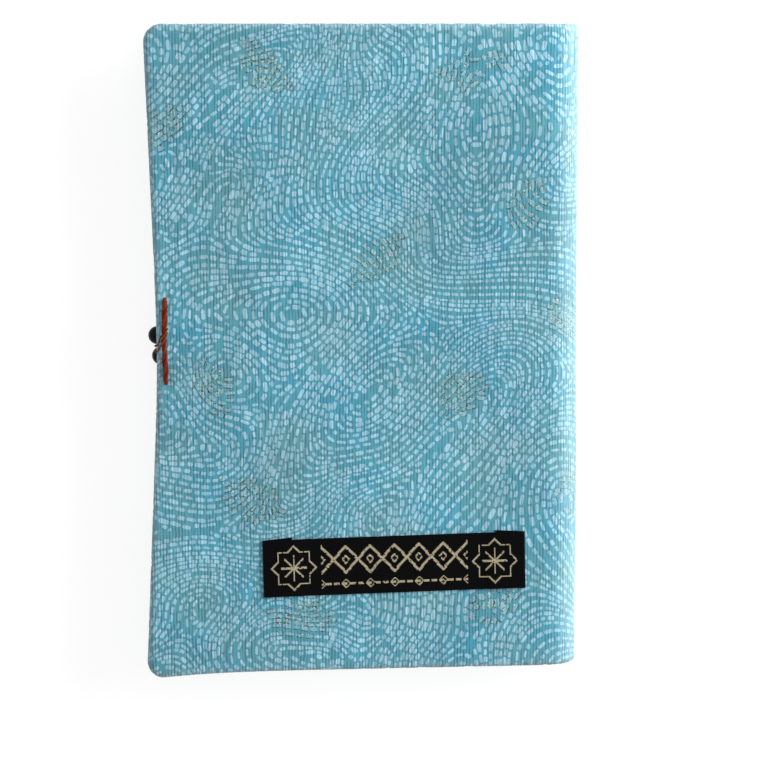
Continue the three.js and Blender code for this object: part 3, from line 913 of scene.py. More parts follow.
def in_one_of(places, near, outlines, values):
    """The value of the nearby outline that each place lies in, or 0."""
    missing = [((0, MOST_CORNERS - len(outline)), (0, 0)) for outline in outlines]
    shapes = np.array([np.pad(outline, corners, "edge") for outline, corners in zip(outlines, missing)])
    found = np.zeros(len(places))
    for k in range(NEAR_DASHES):
        within = inside(places, shapes[near[:, k]])
        found = np.where(within, np.asarray(values)[near[:, k]], found)
    return found


def gold_on(middles, near, printed, white):
    """How much gold each place holds, and whether it gets the painted highlight: the upper side of a line,
    and the wash.
    """
    gilded = np.array([gold is not dash for dash, gold, _ in printed])
    gold_outlines = [gold for _, gold, _ in printed]
    owner = in_one_of(middles, near, gold_outlines, np.arange(len(printed)) + 1).astype(int) - 1
    centres = np.array([gold.mean(0) for gold in gold_outlines])
    sides = [np.roll(gold, -1, axis=0) - gold for gold in gold_outlines]
    longest = np.array([side[np.hypot(*side.T).argmax()] for side in sides])
    along = longest / np.hypot(*longest.T)[:, None]
    painted_lit_side = np.stack([-along[:, 1], along[:, 0]], 1)
    painted_lit_side *= np.sign(painted_lit_side @ GOLD_PAINTED_LIT_SIDE)[:, None]
    reach = np.array([np.abs((gold - gold.mean(0)) @ way).max() for gold, way in zip(gold_outlines, along)])
    from_centre = middles - centres[owner]
    at_side = np.abs((from_centre * along[owner]).sum(1)) < GOLD_SIDE_SHARE * reach[owner]
    on_gilded = (owner >= 0) & gilded[owner]
    line = on_gilded & (white == 0) & at_side
    wash = on_gilded & (white > 0)
    upper = (from_centre * painted_lit_side[owner]).sum(1) > 0
    return np.where(line, 1.0, GOLD_WASH * wash), (line & upper) | wash

# %% Dividing the flat cloth
RIM_POINTS = 1.1
FACE_POINTS = 2.6
POINTS_INSIDE_CUT = 0.4
CUT_IN_DOUBT = 1
MERGE_DISTANCE = 1e-4


def filling_points(cover):
    """Points between the dashes, closer together where the cloth bends."""
    found = []
    for step in (RIM_POINTS, FACE_POINTS):
        x, y = np.meshgrid(
            np.arange(FORE_X - TURN_IN, SPINE_MIDDLE - POINTS_INSIDE_CUT, step),
            np.arange(-HEAD_Y - TURN_IN, HEAD_Y + TURN_IN, step),
            indexing="ij",
        )
        x, y = x.ravel(), y.ravel()
        beyond = past_rim(x, y, cover)[0]
        bends = (beyond > -RIM) | (x > BEND_START - step)
        chosen = (beyond < TURN_IN - POINTS_INSIDE_CUT) & (bends if step == RIM_POINTS else ~bends)
        found.append(np.stack([x[chosen], y[chosen]], 1))
    return np.concatenate(found)


def outline_edges(first, count):
    return [(first + i, first + (i + 1) % count) for i in range(count)]


def divide(points, edges, cut, cover):
    """Triangles between the points that keep to the edges, within the cut."""
    divided = delaunay_2d_cdt([Vector(place) for place in points], edges, [], 0, MERGE_DISTANCE, False)
    flat = np.array([tuple(place) for place in divided[0]])
    triangles = np.array(divided[2])
    middles = flat[triangles].mean(1)
    kept = np.ones(len(triangles), bool)
    doubtful = past_rim(*middles.T, cover)[0] > TURN_IN - CUT_IN_DOUBT
    kept[doubtful] = inside(middles[doubtful], cut)
    return flat, triangles[kept]

# %% From points to a piece
REVERSE_BESIDE = 0.505


def make_piece(name, points, faces, material):
    """A smooth mesh piece from points in millimetres."""
    mesh = bpy.data.meshes.new(name)
    mesh.from_pydata((np.asarray(points) * MM).tolist(), [], faces)
    mesh.polygons.foreach_set("use_smooth", [True] * len(mesh.polygons))
    mesh.materials.append(material)
    return new_object(name, mesh)


def rim_edges(faces):
    """Edges that only one face has, in that face's direction."""
    once = {}
    for face in faces:
        for i, start in enumerate(face):
            end = face[(i + 1) % len(face)]
            if once.pop((end, start), None) is None:
                once[(start, end)] = True
    return list(once)


def keep_sharp(piece, edges):
    """Edges across which the shading doesn't run on."""
    sharp = {frozenset(edge) for edge in edges}
    piece.data.edges.foreach_set(
        "use_edge_sharp", [frozenset(edge.vertices) in sharp for edge in piece.data.edges]
    )


def lay_out(piece, flat, on_reverse):
    """UV map of the flat cloth, with the reverse side beside the face."""
    mesh = piece.data
    corners = np.empty(len(mesh.loops), np.int32)
    mesh.loops.foreach_get("vertex_index", corners)
    corner_counts = np.empty(len(mesh.polygons), np.int32)
    mesh.polygons.foreach_get("loop_total", corner_counts)
    places = (flat - flat.min(0))[corners] / LAYOUT_SPAN
    places[np.repeat(on_reverse, corner_counts), 0] += REVERSE_BESIDE
    mesh.uv_layers.new(name=UV_MAP).data.foreach_set("uv", places.astype(np.float32).ravel())


def add_inks(piece, **inks):
    """One number per face for each ink."""
    for name, values in inks.items():
        filled = np.zeros(len(piece.data.polygons), np.float32)
        filled[: len(values)] = values
        piece.data.attributes.new(name, "FLOAT", "FACE").data.foreach_set("value", filled)

# %% Painted light on the spine, rubbing on the rims, and dashes of one half
# Painted light: the cloth round the spine is coloured paler, standing in for the light from the side that
# falls on it.
SPINE_PAINTED_LIGHT = 0.25
SPINE_PAINTED_LIGHT_REACH = 10.0
SPINE_PAINTED_LIGHT_BLEND = 5.5
RIM_WEAR = 0.25
DASHES_INSIDE_CUT = 0.05


def paleness_from_rubbing_and_light(flat, cover):
    """How much paler the cloth is coloured: most round the spine, which is painted light, and a little along
    the rim, where it rubs.
    """
    to_spine = np.clip((flat[:, 0] - SPINE_MIDDLE + SPINE_PAINTED_LIGHT_REACH) / SPINE_PAINTED_LIGHT_BLEND, 0, 1)
    spine = SPINE_PAINTED_LIGHT * to_spine**2 * (3 - 2 * to_spine)
    from_crest = past_rim(*flat.T, cover)[0] - RIM
    return np.maximum(spine, RIM_WEAR * np.exp(-((from_crest / RIM) ** 2)))


def cut_at_spine(outline):
    """The part of an outline on this side of the middle of the spine."""
    kept = []
    for start, end in zip(outline, np.roll(outline, -1, axis=0)):
        if start[0] <= SPINE_MIDDLE:
            kept.append(start)
        if (start[0] - SPINE_MIDDLE) * (end[0] - SPINE_MIDDLE) < 0:
            share = (SPINE_MIDDLE - start[0]) / (end[0] - start[0])
            kept.append((SPINE_MIDDLE, start[1] + share * (end[1] - start[1])))
    return np.array(kept)


def dashes_on(cover):
    """Outline, gold outline and strength of each dash on a half cloth. Without gold, the outlines are one."""
    flip = [1 if cover == "back" else -1, 1]
    found = []
    for outline, gold_outline, strength in dashes:
        if (outline[:, 0] * flip[0]).min() > 0:
            continue
        dash = cut_at_spine(outline * flip + [SPINE_MIDDLE, 0])
        gold = dash if gold_outline is None else cut_at_spine(gold_outline * flip + [SPINE_MIDDLE, 0])
        if len(dash) > 2 and past_rim(*gold.T, cover)[0].max() < TURN_IN - DASHES_INSIDE_CUT:
            found.append((dash, gold, strength))
    return found


print(len(dashes_on("back")), "dashes on the back half")


def outer_cloth(name, cover):
    """Half the outer cloth with its print, its reverse side and its cut edge."""
    cut = flat_outline(cover)
    filling = filling_points(cover)
    printed = dashes_on(cover)
    dash_outlines = [dash for dash, _, _ in printed]
    points = [cut]
    edges = outline_edges(0, len(cut))
    count = len(cut)
    for outline in dash_outlines + [gold for dash, gold, _ in printed if gold is not dash]:
        edges += outline_edges(count, len(outline))
        points.append(outline)
        count += len(outline)
    flat, triangles = divide(np.concatenate(points + [filling]), edges, cut, cover)
    middles = flat[triangles].mean(1)
    near = nearest_dashes(middles, dash_outlines)
    white = in_one_of(middles, near, dash_outlines, [strength for _, _, strength in printed])
    gold, glint = gold_on(middles, near, printed, white)
    used, triangles = np.unique(triangles, return_inverse=True)
    flat, triangles = flat[used], triangles.reshape(-1, 3)
    rim = rim_edges(triangles.tolist())
    rim_points = sorted({point for edge in rim for point in edge})
    place_in_rim = {point: i for i, point in enumerate(rim_points)}
    reverse_edges = [(place_in_rim[start], place_in_rim[end]) for start, end in rim]
    reverse_flat, reverse = divide(np.concatenate([flat[rim_points], filling]), reverse_edges, cut, cover)
    face_count = len(flat)
    below = {point: face_count + i for point, i in place_in_rim.items()}
    walls = [(end, start, below[start], below[end]) for start, end in rim]
    faces = triangles.tolist() + (reverse[:, ::-1] + face_count).tolist() + walls
    if cover == "front":
        faces = [face[::-1] for face in faces]
    laid = [lay_on_book(*flat.T, cover), lay_on_book(*reverse_flat.T, cover, CLOTH_THICKNESS)]
    piece = make_piece(name, np.concatenate(laid), faces, cotton)
    add_inks(piece, white_ink=white, gold_ink=gold, gold_glint=glint)
    # Paler round the spine as painted light, and along the rim from real rubbing.
    worn_and_painted_light = paleness_from_rubbing_and_light(np.concatenate([flat, reverse_flat]), cover)
    piece.data.attributes.new("worn_and_painted_light", "FLOAT", "POINT").data.foreach_set("value", worn_and_painted_light.astype(np.float32))
    keep_sharp(piece, [edge for wall in walls for edge in (wall[:2], wall[2:])])
    lay_out(piece, np.concatenate([flat, reverse_flat]), np.arange(len(faces)) >= len(triangles))
    print(name, len(faces), "faces,", int((white > 0).sum()), "white,", int((gold > 0).sum()), "gold")
    return piece


def bend_at_fold(piece):
    """Bakes a piece's placement into its points."""
    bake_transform(piece)


for cover_name in ("back", "front"):
    cloth = outer_cloth(f"outer_cloth_{cover_name}", cover_name)
    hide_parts(f"{cover_name}_outer_cloth", *(["spine_outer_cloth"] if cover_name == "back" else []))
    bend_at_fold(cloth)

# %% [markdown]
# ## Soft sheets inside the book
#
# Stiffening, lining and felt all lie flat along a cover and run on round the spine, each at its own
# distance from the middle of the book. One function makes them all: a grid of points that follows the edge,
# thinned to nothing along the rim so that the cut edge is round and soft. Each sheet is made in two halves,
# as the outer cloth is.

# %% Round the spine
def spaced(start, end, step):
    return np.linspace(start, end, max(2, math.ceil(abs(end - start) / step) + 1))


def round_spine(s, t, height, radius, cover):
    """s runs along the cover and round the spine, t towards the head, and height out of the sheet."""
    bend = np.maximum(s - FOLD_X, 0) / radius
    x = np.minimum(s, FOLD_X) + (radius + height) * np.sin(bend)
    z = MIDDLE_Z + (radius + height) * np.cos(bend)
    return np.stack([x, t, z if cover == "back" else BOOK_TOP - z], -1)


def faces_from(*corners):
    """Faces from the point numbers of their four corners."""
    return np.stack(corners, -1).reshape(-1, 4).tolist()


def quads(grid):
    """The faces between neighbours in a grid of point numbers."""
    return faces_from(grid[:-1, :-1], grid[:-1, 1:], grid[1:, 1:], grid[1:, :-1])

# %% Making a soft sheet
EDGE_STEPS = 4
SPINE_STEPS = 14
SHEET_STEP = 2.5
CORNER_STEP = 0.4


def soft_sheet(name, cover, radius, thickness, fore, half_height, corner, material, wave):
    """Half a sheet. fore gives its edge at a height on the book, and wave how it sways out of the flat."""
    edge_round = thickness / 2
    near = edge_round * (1 - np.cos(np.linspace(0, math.pi / 2, EDGE_STEPS + 1)))
    from_end = np.concatenate([near[:-1], spaced(edge_round, corner, CORNER_STEP)])
    middle = spaced(corner - half_height, half_height - corner, SHEET_STEP)[1:-1]
    t = np.concatenate([from_end - half_height, middle, (half_height - from_end)[::-1]])
    past_corner = np.maximum(np.abs(t) - (half_height - corner), 0)
    edge = fore(t) + corner - np.sqrt(np.maximum(corner**2 - past_corner**2, 0))
    flat_start = edge + edge_round
    share = spaced(0, 1, SHEET_STEP / (FOLD_X - flat_start.min()))
    on_flat = flat_start[:, None] + share * (FOLD_X - flat_start)[:, None]
    on_spine = FOLD_X + np.linspace(0, radius * math.pi / 2, SPINE_STEPS + 1)[1:]
    s = np.hstack([edge[:, None] + near[:-1], on_flat, np.tile(on_spine, (len(t), 1))])
    t_grid = np.broadcast_to(t[:, None], s.shape)
    from_rim = np.minimum(s - edge[:, None], half_height - np.abs(t_grid))
    half = edge_round * np.sqrt(1 - (1 - np.clip(from_rim / edge_round, 0, 1)) ** 2)
    on_rim = from_rim < TINY
    sway = wave(s, t_grid)
    face = np.arange(s.size).reshape(s.shape)
    reverse = face.copy()
    reverse[~on_rim] = s.size + np.arange((~on_rim).sum())
    outer = round_spine(s, t_grid, sway + half, radius, cover).reshape(-1, 3)
    inner = round_spine(s, t_grid, sway - half, radius, cover)[~on_rim]
    points = np.concatenate([outer, inner])
    cut = np.stack([s, t_grid], -1)
    flat = np.concatenate([cut.reshape(-1, 2), cut[~on_rim]])
    faces = quads(face) + [quad[::-1] for quad in quads(reverse)]
    wall = faces_from(reverse[:-1, -1], reverse[1:, -1], face[1:, -1], face[:-1, -1])
    faces += [list(dict.fromkeys(quad)) for quad in wall]
    if cover == "front":
        faces = [quad[::-1] for quad in faces]
    piece = make_piece(name, points, faces, material)
    keep_sharp(piece, [*zip(face[:-1, -1], face[1:, -1]), *zip(reverse[:-1, -1], reverse[1:, -1])])
    lay_out(piece, flat, np.arange(len(faces)) >= face.size - sum(face.shape) + 1)
    width = FOLD_X + radius * math.pi / 2 - float(fore(0.0))
    print(name, len(faces), "faces, cut", round(width, 1), "x", round(2 * half_height, 1), "mm")
    return piece

# %% Both halves of a sheet
def cover_sheets(name, node, spine_node, thickness, radius, inset, corner, material, wave):
    """Both halves of a sheet that follows the covers' edge at an inset."""
    for cover in ("back", "front"):
        half = soft_sheet(
            f"{name}_{cover}",
            cover,
            radius,
            thickness,
            lambda t: fore_edge(t, cover) + inset,
            HEAD_Y - inset,
            corner,
            material,
            wave,
        )
        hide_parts(f"{cover}_{node}", *([spine_node] if cover == "back" else []))
        bend_at_fold(half)

# %% [markdown]
# ## Stiffening
#
# A layer of firm needle-punched interlining keeps the covers stiff. On the closed book nothing of it shows.
# It is made all the same, because the cloth rests on it. It is off-white and matt, with the small dimples
# that the needles leave.

# %% A mat of fibres
FIBRE_TURNS = (0.3, 1.35, 2.4)
FIBRE_STRETCH = 7
FIBRE_TANGLE = 1.2
FIBRE_CLOUD = 7
CLOUD_SHARE = 0.3
MAT_TONE = (0.6, 0.88)
MAT_STRENGTH = 0.7
MAT_FUZZ = {"Roughness": 0.95, "Specular IOR Level": 0.15, "Sheen Weight": 0.2, "Sheen Roughness": 0.5}


def soft_material(name, shades, fibre, dimple, depth):
    """A mat of fibres that cross in three directions, dimpled where dimple isn't 0. Sizes in millimetres."""
    material, tree, shader = new_material(name)
    place = flat_millimetres(tree)
    stretch = (1 / fibre, 1 / (FIBRE_STRETCH * fibre), 1.0)
    mat = 0.0
    for turn in FIBRE_TURNS:
        turned = add_node(tree, "VectorRotate", {"Vector": place, "Angle": turn}, rotation_type="Z_AXIS")
        stretched = add_node(tree, "VectorMath", {0: turned, 1: stretch}, operation="MULTIPLY")
        tangle = {"Vector": stretched, **YARN_NOISE, "Distortion": FIBRE_TANGLE}
        layer = add_node(tree, "TexNoise", tangle, "Fac")
        mat = add_node(tree, "Math", {0: mat, 1: layer}, operation="MAXIMUM")
    clouds = add_node(tree, "TexNoise", {"Vector": place, "Scale": 1 / FIBRE_CLOUD, "Detail": 3.0}, "Fac")
    mixed = add_node(tree, "Math", {0: clouds, 1: CLOUD_SHARE, 2: mat}, operation="MULTIPLY_ADD")
    tone = add_node(tree, "MapRange", {"Value": mixed, **over(*MAT_TONE)})
    shade = add_node(tree, "Mix", {"Factor": tone, **colours(*shades)}, **COLOUR_MIX)
    height = mat
    if dimple:
        dimples = add_node(tree, "TexVoronoi", {"Vector": place, "Scale": 1 / dimple}, "Distance")
        height = add_node(tree, "Math", {0: mat, 1: dimples}, operation="ADD")
    relief = add_node(tree, "Bump", {"Height": height, "Strength": MAT_STRENGTH, "Distance": depth * MM})
    set_inputs(tree, shader, {"Base Color": shade, "Normal": relief, **MAT_FUZZ})
    return material

# %% Interlining
INTERLINING_COLOURS = ("#d3cdbd", "#e9e5da")
INTERLINING_FIBRE = 0.5
INTERLINING_DIMPLES = 1.6
INTERLINING_RELIEF = 0.2
INTERLINING_THICKNESS = 1.2
INTERLINING_INSET = 1.35
INTERLINING_AIR = 0.4


def no_wave(s, t):
    """Firm interlining lies flat."""
    return np.zeros_like(s)


# Needle-punched fibre: off-white and matt, dimpled where the needles went in.
interlining = soft_material(
    "polyester interlining, needle-punched",
    INTERLINING_COLOURS,
    INTERLINING_FIBRE,
    INTERLINING_DIMPLES,
    INTERLINING_RELIEF,
)
cover_sheets(
    "stiffening",
    "stiffener",
    "spine_fleece",
    INTERLINING_THICKNESS,
    SPINE_RADIUS - CLOTH_THICKNESS - INTERLINING_AIR - INTERLINING_THICKNESS / 2,
    INTERLINING_INSET,
    CORNER_RADIUS - INTERLINING_INSET,
    interlining,
    no_wave,
)

# %% [markdown]
# ## Lining
#
# The lining is a plain dyed cotton of the same weave, sewn in on top of the turned-in edges and one cloth's
# thickness inside them. It shows as soon as the book is opened. It could stay a flat sheet, but a lining
# that is sewn in by hand is a little loose, so it swells between its seams by a twentieth of a millimetre.

# %% Lining
LINING_COLOURS = ("#4a899d", "#6babbd")
LINING_INSET = 1.8
LINING_THICKNESS = 0.35
LINING_CORNER = CORNER_RADIUS - 1.0
LINING_WAVE_HEIGHT = 0.05
LINING_WAVE = (9, 12)
LINING_WAVE_START = 0.5


def plain_cotton():
    # Dyed cotton of the same weave: one colour with painted shade in the gaps between the yarns, matt and
    # softly fuzzy.
    material, tree, shader = new_material("quilting cotton, plain woven and dyed")
    place = flat_millimetres(tree)
    streak = streaks(tree, place, WARP_STREAK_WIDTH, WARP_STREAK_LENGTH)
    gaps = warp_lines(tree, place)
    # Painted shade: darker in the gaps between the yarns, on top of the yarns' own uneven tone.
    tone = add_node(tree, "Math", {0: streak, 1: gaps}, operation="SUBTRACT")
    dyed = add_node(tree, "Mix", {"Factor": tone, **colours(*LINING_COLOURS)}, **COLOUR_MIX)
    relief = weave_bump(tree, place, gaps, streak)
    looks = {"Base Color": dyed, "Roughness": COTTON_ROUGHNESS, "Normal": relief, **COTTON_FUZZ}
    set_inputs(tree, shader, looks)
    return material


def lining_wave(s, t):
    """A slight swelling between the seams."""
    return LINING_WAVE_HEIGHT * np.sin(s / LINING_WAVE[0] + LINING_WAVE_START) * np.sin(t / LINING_WAVE[1])


cover_sheets(
    "lining",
    "lining",
    "spine_lining",
    LINING_THICKNESS,
    SPINE_RADIUS - 2 * RIM - LINING_THICKNESS / 2,
    LINING_INSET,
    LINING_CORNER,
    plain_cotton(),
    lining_wave,
)

# %% [markdown]
# ## Felt leaves
#
# Two sheets of wool felt are folded one inside the other and give four leaves for the needles. Felt has no
# threads: it is a mat of wool fibres, cloudy in tone, with a soft fuzz and a cut edge that is a little
# uneven. Each leaf sways by a fraction of a millimetre, as felt does that has lain in a drawer. A modifier
# could give that sway. Here it is in the grid of points, so each leaf keeps its own and stays clear of the
# next one.

# %% Felt leaves
FELT_COLOURS = ("#bdb094", "#ddd2ba")
FELT_FIBRE = 0.45
FELT_RELIEF = 0.22
FELT_CORNER = 3.0
LEAF_SWAY = 0.08
LEAF_SHIFT = 6
LEAF_SWAY_LENGTH = (16, 21)
LEAF_FLAT_BY_FOLD = 20
LEAF_CUT_SWAY = (0.12, 0.07)
LEAF_CUT_LENGTH = (7, 2.3)
# Wool felt: cloudy, soft and without any shine, with short fibres that lie every way.
felt = soft_material("wool felt, natural", FELT_COLOURS, FELT_FIBRE, 0, FELT_RELIEF)


def make_leaf(number, cover, fold_node):
    """A leaf as thick as its solid and as far from the middle of the book, with a sway of its own."""
    node = f"felt_leaf_{number}"
    low, high = box_mm(node)
    thickness = high[2] - low[2]
    radius = abs((low[2] + high[2]) / 2 - MIDDLE_Z)
    leaf_draw = random.Random(number)
    phases = [leaf_draw.uniform(0, LEAF_SHIFT) for _ in range(4)]

    def wave(s, t):
        fade = np.clip((FOLD_X - s) / LEAF_FLAT_BY_FOLD, 0, 1)
        along = np.sin(s / LEAF_SWAY_LENGTH[0] + phases[0])
        return LEAF_SWAY * fade * along * np.sin(t / LEAF_SWAY_LENGTH[1] + phases[1])

    def cut_edge(t):
        slow = LEAF_CUT_SWAY[0] * np.sin(np.asarray(t) / LEAF_CUT_LENGTH[0] + phases[2])
        return low[0] + slow + LEAF_CUT_SWAY[1] * np.sin(np.asarray(t) / LEAF_CUT_LENGTH[1] + phases[3])

    leaf = soft_sheet(f"leaf_{number}", cover, radius, thickness, cut_edge, high[1], FELT_CORNER, felt, wave)
    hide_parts(node, *fold_node)
    bend_at_fold(leaf)


make_leaf(1, "front", ["felt_fold_outer"])
make_leaf(2, "front", ["felt_fold_inner"])
make_leaf(3, "back", [])
make_leaf(4, "back", [])

# %% [markdown]
# ## Threads
#
# A sewing or embroidery thread is two or three yarns twisted together, and the twist is what makes it look
# like thread. So each yarn is a thin tube that winds round the thread's path. The path itself is a few
# corners that are cut off again and again until they are round. A smooth tube with a striped material would
# do from afar, and would look like wire close up.

# %% The path of a thread
THREAD_STEP = 0.14
CORNER_CUT = 0.25
CORNER_ROUNDS = 4
ACROSS_START = (0.31, 0.52, 0.79)


def smooth_path(corners, closed=False, step=THREAD_STEP):
    """Points a step apart along the corners, rounded off."""
    line = np.asarray(corners, float)
    for _ in range(CORNER_ROUNDS):
        ahead = np.roll(line, -1, axis=0)
        early = (1 - CORNER_CUT) * line + CORNER_CUT * ahead
        late = CORNER_CUT * line + (1 - CORNER_CUT) * ahead
        halves = np.stack([early, late], 1).reshape(-1, 3)
        line = halves if closed else np.concatenate([line[:1], halves[1:-3], line[-1:]])
    if closed:
        line = np.concatenate([line, line[:1]])
    along = np.concatenate([[0], np.cumsum(np.linalg.norm(np.diff(line, axis=0), axis=1))])
    marks = np.linspace(0, along[-1], max(3, round(along[-1] / step)) + 1)
    points = np.stack([np.interp(marks, along, line[:, k]) for k in range(3)], 1)
    return points[:-1] if closed else points


def directions_along(line, closed):
    """At each point the direction ahead and two directions across it, carried along without twist."""
    ahead = np.roll(line, -1, 0) - np.roll(line, 1, 0) if closed else np.gradient(line, axis=0)
    ahead /= np.linalg.norm(ahead, axis=1)[:, None]
    across = np.empty_like(line)
    current = np.cross(ahead[0], ACROSS_START)
    for i, direction in enumerate(ahead):
        current = current - direction * current.dot(direction)
        current /= np.linalg.norm(current)
        across[i] = current
    beside = np.cross(ahead, across)
    left_over = 0.0
    if closed:
        last = current - ahead[0] * current.dot(ahead[0])
        left_over = math.atan2(last.dot(beside[0]), last.dot(across[0]))
    return across, beside, left_over

# %% Twisting yarns
YARN_SIDES = 8
YARN_FULLNESS = 1.06


def wind(line, closed, count, radius, turn_length):
    """Lines that wind round a line, one full turn every turn_length."""
    across, beside, left_over = directions_along(line, closed)
    length = np.linalg.norm(np.diff(line, axis=0), axis=1).sum()
    turns = max(1, round(length / turn_length))
    share = np.arange(len(line)) / (len(line) if closed else len(line) - 1)
    radius = np.broadcast_to(radius, len(line))[:, None]
    wound = []
    for k in range(count):
        angle = ((2 * math.pi * turns - left_over) * share + 2 * math.pi * k / count)[:, None]
        wound.append(line + radius * (np.cos(angle) * across + np.sin(angle) * beside))
    return wound


def tube(line, closed, radius):
    """Points and faces of a tube round a line."""
    across, beside, left_over = directions_along(line, closed)
    share = np.arange(len(line)) / len(line)
    angle = np.linspace(0, 2 * math.pi, YARN_SIDES, endpoint=False) - (left_over * share)[:, None]
    ring = np.cos(angle)[..., None] * across[:, None] + np.sin(angle)[..., None] * beside[:, None]
    points = (line[:, None] + radius * ring).reshape(-1, 3)
    grid = np.arange(len(points)).reshape(len(line), YARN_SIDES)
    ahead = np.roll(grid, -1, 0) if closed else grid[1:]
    grid_start = grid if closed else grid[:-1]
    faces = faces_from(grid_start, np.roll(grid_start, -1, 1), np.roll(ahead, -1, 1), ahead)
    if not closed:
        faces += [grid[0, ::-1].tolist(), grid[-1].tolist()]
    return points, faces


def make_thread(name, lines, diameter, yarns, turn_length, material, closed=False):
    """Threads along several lines in one piece."""
    yarn_radius = diameter / 2 / (1 + 1 / math.sin(math.pi / yarns))
    points, faces, count = [], [], 0
    for line in lines:
        for yarn in wind(line, closed, yarns, diameter / 2 - yarn_radius, turn_length):
            tube_points, tube_faces = tube(yarn, closed, yarn_radius * YARN_FULLNESS)
            points.append(tube_points)
            faces += [[corner + count for corner in face] for face in tube_faces]
            count += len(tube_points)
    piece = make_piece(name, np.concatenate(points), faces, material)
    print(name, len(lines), "threads of", diameter, "mm,", len(faces), "faces")
    return piece

# %% [markdown]
# The finish of a thread comes from its fibres. Spun cotton has fine streaks and hardly any shine, and its
# fibres are painted lighter on top and darker where they lie deep, as light and shade. The thread of the
# beads was drawn through wax. Each could have a material built from scratch, but they differ only in colour
# and gloss, so one recipe makes all four.

# %% Thread, spun and waxed
FIBRE_SIZE = 0.25
FIBRE_TONE = (0.32, 0.68)
FIBRE_RELIEF = 0.06
FIBRE_STRENGTH = 0.5
FIBRE_NOISE = {"Scale": 1 / (FIBRE_SIZE * MM), "Detail": 3.0, "Roughness": 0.7}
SPUN_ROUGHNESS = 0.65
WAXED_ROUGHNESS = 0.4
THREAD_FUZZ = {"Specular IOR Level": 0.2, "Sheen Weight": 0.06, "Sheen Roughness": 0.4}


def settle(piece, node, body):
    """Hides the solid that a piece stands for and hangs the piece on the body that it moves with."""
    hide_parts(node)
    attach(piece, body)


def thread_material(name, shades, roughness):
    """Twisted yarn: fine fibres along it, painted darker as shade where they lie deep, with a soft shine."""
    material, tree, shader = new_material(name)
    place = add_node(tree, "TexCoord", out="Object")
    fibres = add_node(tree, "TexNoise", {"Vector": place, **FIBRE_NOISE}, "Fac")
    # Painted shade: the noise that lowers the fibres also darkens them.
    tone = add_node(tree, "MapRange", {"Value": fibres, **over(*FIBRE_TONE)})
    shade = add_node(tree, "Mix", {"Factor": tone, **colours(*shades)}, **COLOUR_MIX)
    height = {"Height": fibres, "Strength": FIBRE_STRENGTH, "Distance": FIBRE_RELIEF * MM}
    relief = add_node(tree, "Bump", height)
    set_inputs(tree, shader, {"Base Color": shade, "Normal": relief, "Roughness": roughness, **THREAD_FUZZ})
    return material


RUST_COLOURS = ("#561706", "#8c3210")
BROWN_COLOURS = ("#5a2a0c", "#8f4a1a")
PALE_COLOURS = ("#c3d2d0", "#e3eeec")
BLACK_COLOURS = ("#0a0a0a", "#151414")
rust_thread = thread_material("cotton embroidery thread, rust, twisted", RUST_COLOURS, SPUN_ROUGHNESS)
brown_thread = thread_material("cotton sewing thread, orange-brown, twisted", BROWN_COLOURS, SPUN_ROUGHNESS)
pale_thread = thread_material("cotton sewing thread, pale, twisted", PALE_COLOURS, SPUN_ROUGHNESS)
# Wax closes the fibres, so this one is smoother and shines a little more.
black_thread = thread_material("beading thread, black, waxed", BLACK_COLOURS, WAXED_ROUGHNESS)
print("threads:", [thread.name for thread in (rust_thread, brown_thread, pale_thread, black_thread)])

# %% [markdown]
# ## Binding
#
# A pale thread is sewn in running stitch through both felt folds and the spine, six holes in all. It shows
# only in the middle of the open book. A curve with a round bevel would be quicker, and would lack the
# twist. So this thread is wound from two yarns, like the others.

# %% Binding thread
BINDING_DIAMETER = 0.5
BINDING_HOLES = 6
BINDING_TAIL = 3.0
BINDING_TWIST = 1.6
BINDING_STEP = 0.25
BINDING_POINTS = 4
binding_low, binding_high = box_mm("binding_thread")
binding_in = binding_low[0] + BINDING_DIAMETER / 2
binding_out = binding_high[0] - BINDING_DIAMETER / 2
first_hole = binding_high[1] - BINDING_TAIL
binding_corners = [(binding_in, first_hole + BINDING_TAIL, MIDDLE_Z)]
for k, hole_y in enumerate(np.linspace(first_hole, -first_hole, BINDING_HOLES)):
    ends = (binding_in, binding_out) if k % 2 == 0 else (binding_out, binding_in)
    binding_corners += [(x, hole_y, MIDDLE_Z) for x in np.linspace(*ends, BINDING_POINTS)]
binding_corners.append((binding_in, -first_hole - BINDING_TAIL, MIDDLE_Z))
binding_line = smooth_path(binding_corners, step=BINDING_STEP)
binding = make_thread("binding_stitches", [binding_line], BINDING_DIAMETER, 2, BINDING_TWIST, pale_thread)
settle(binding, "binding_thread", "spine")

# %% [markdown]
# ## Thread bar
#
# The bar near the fore edge of the back cover is made of three strands of rust embroidery thread that lie
# twisted round each other. They come up through one dimple of the cloth and go down through another. The
# middle arches, because the loop passes under it, and the loop draws the strands together there into a
# waist. The winding that twists yarns into a thread also twists these strands into the bar.

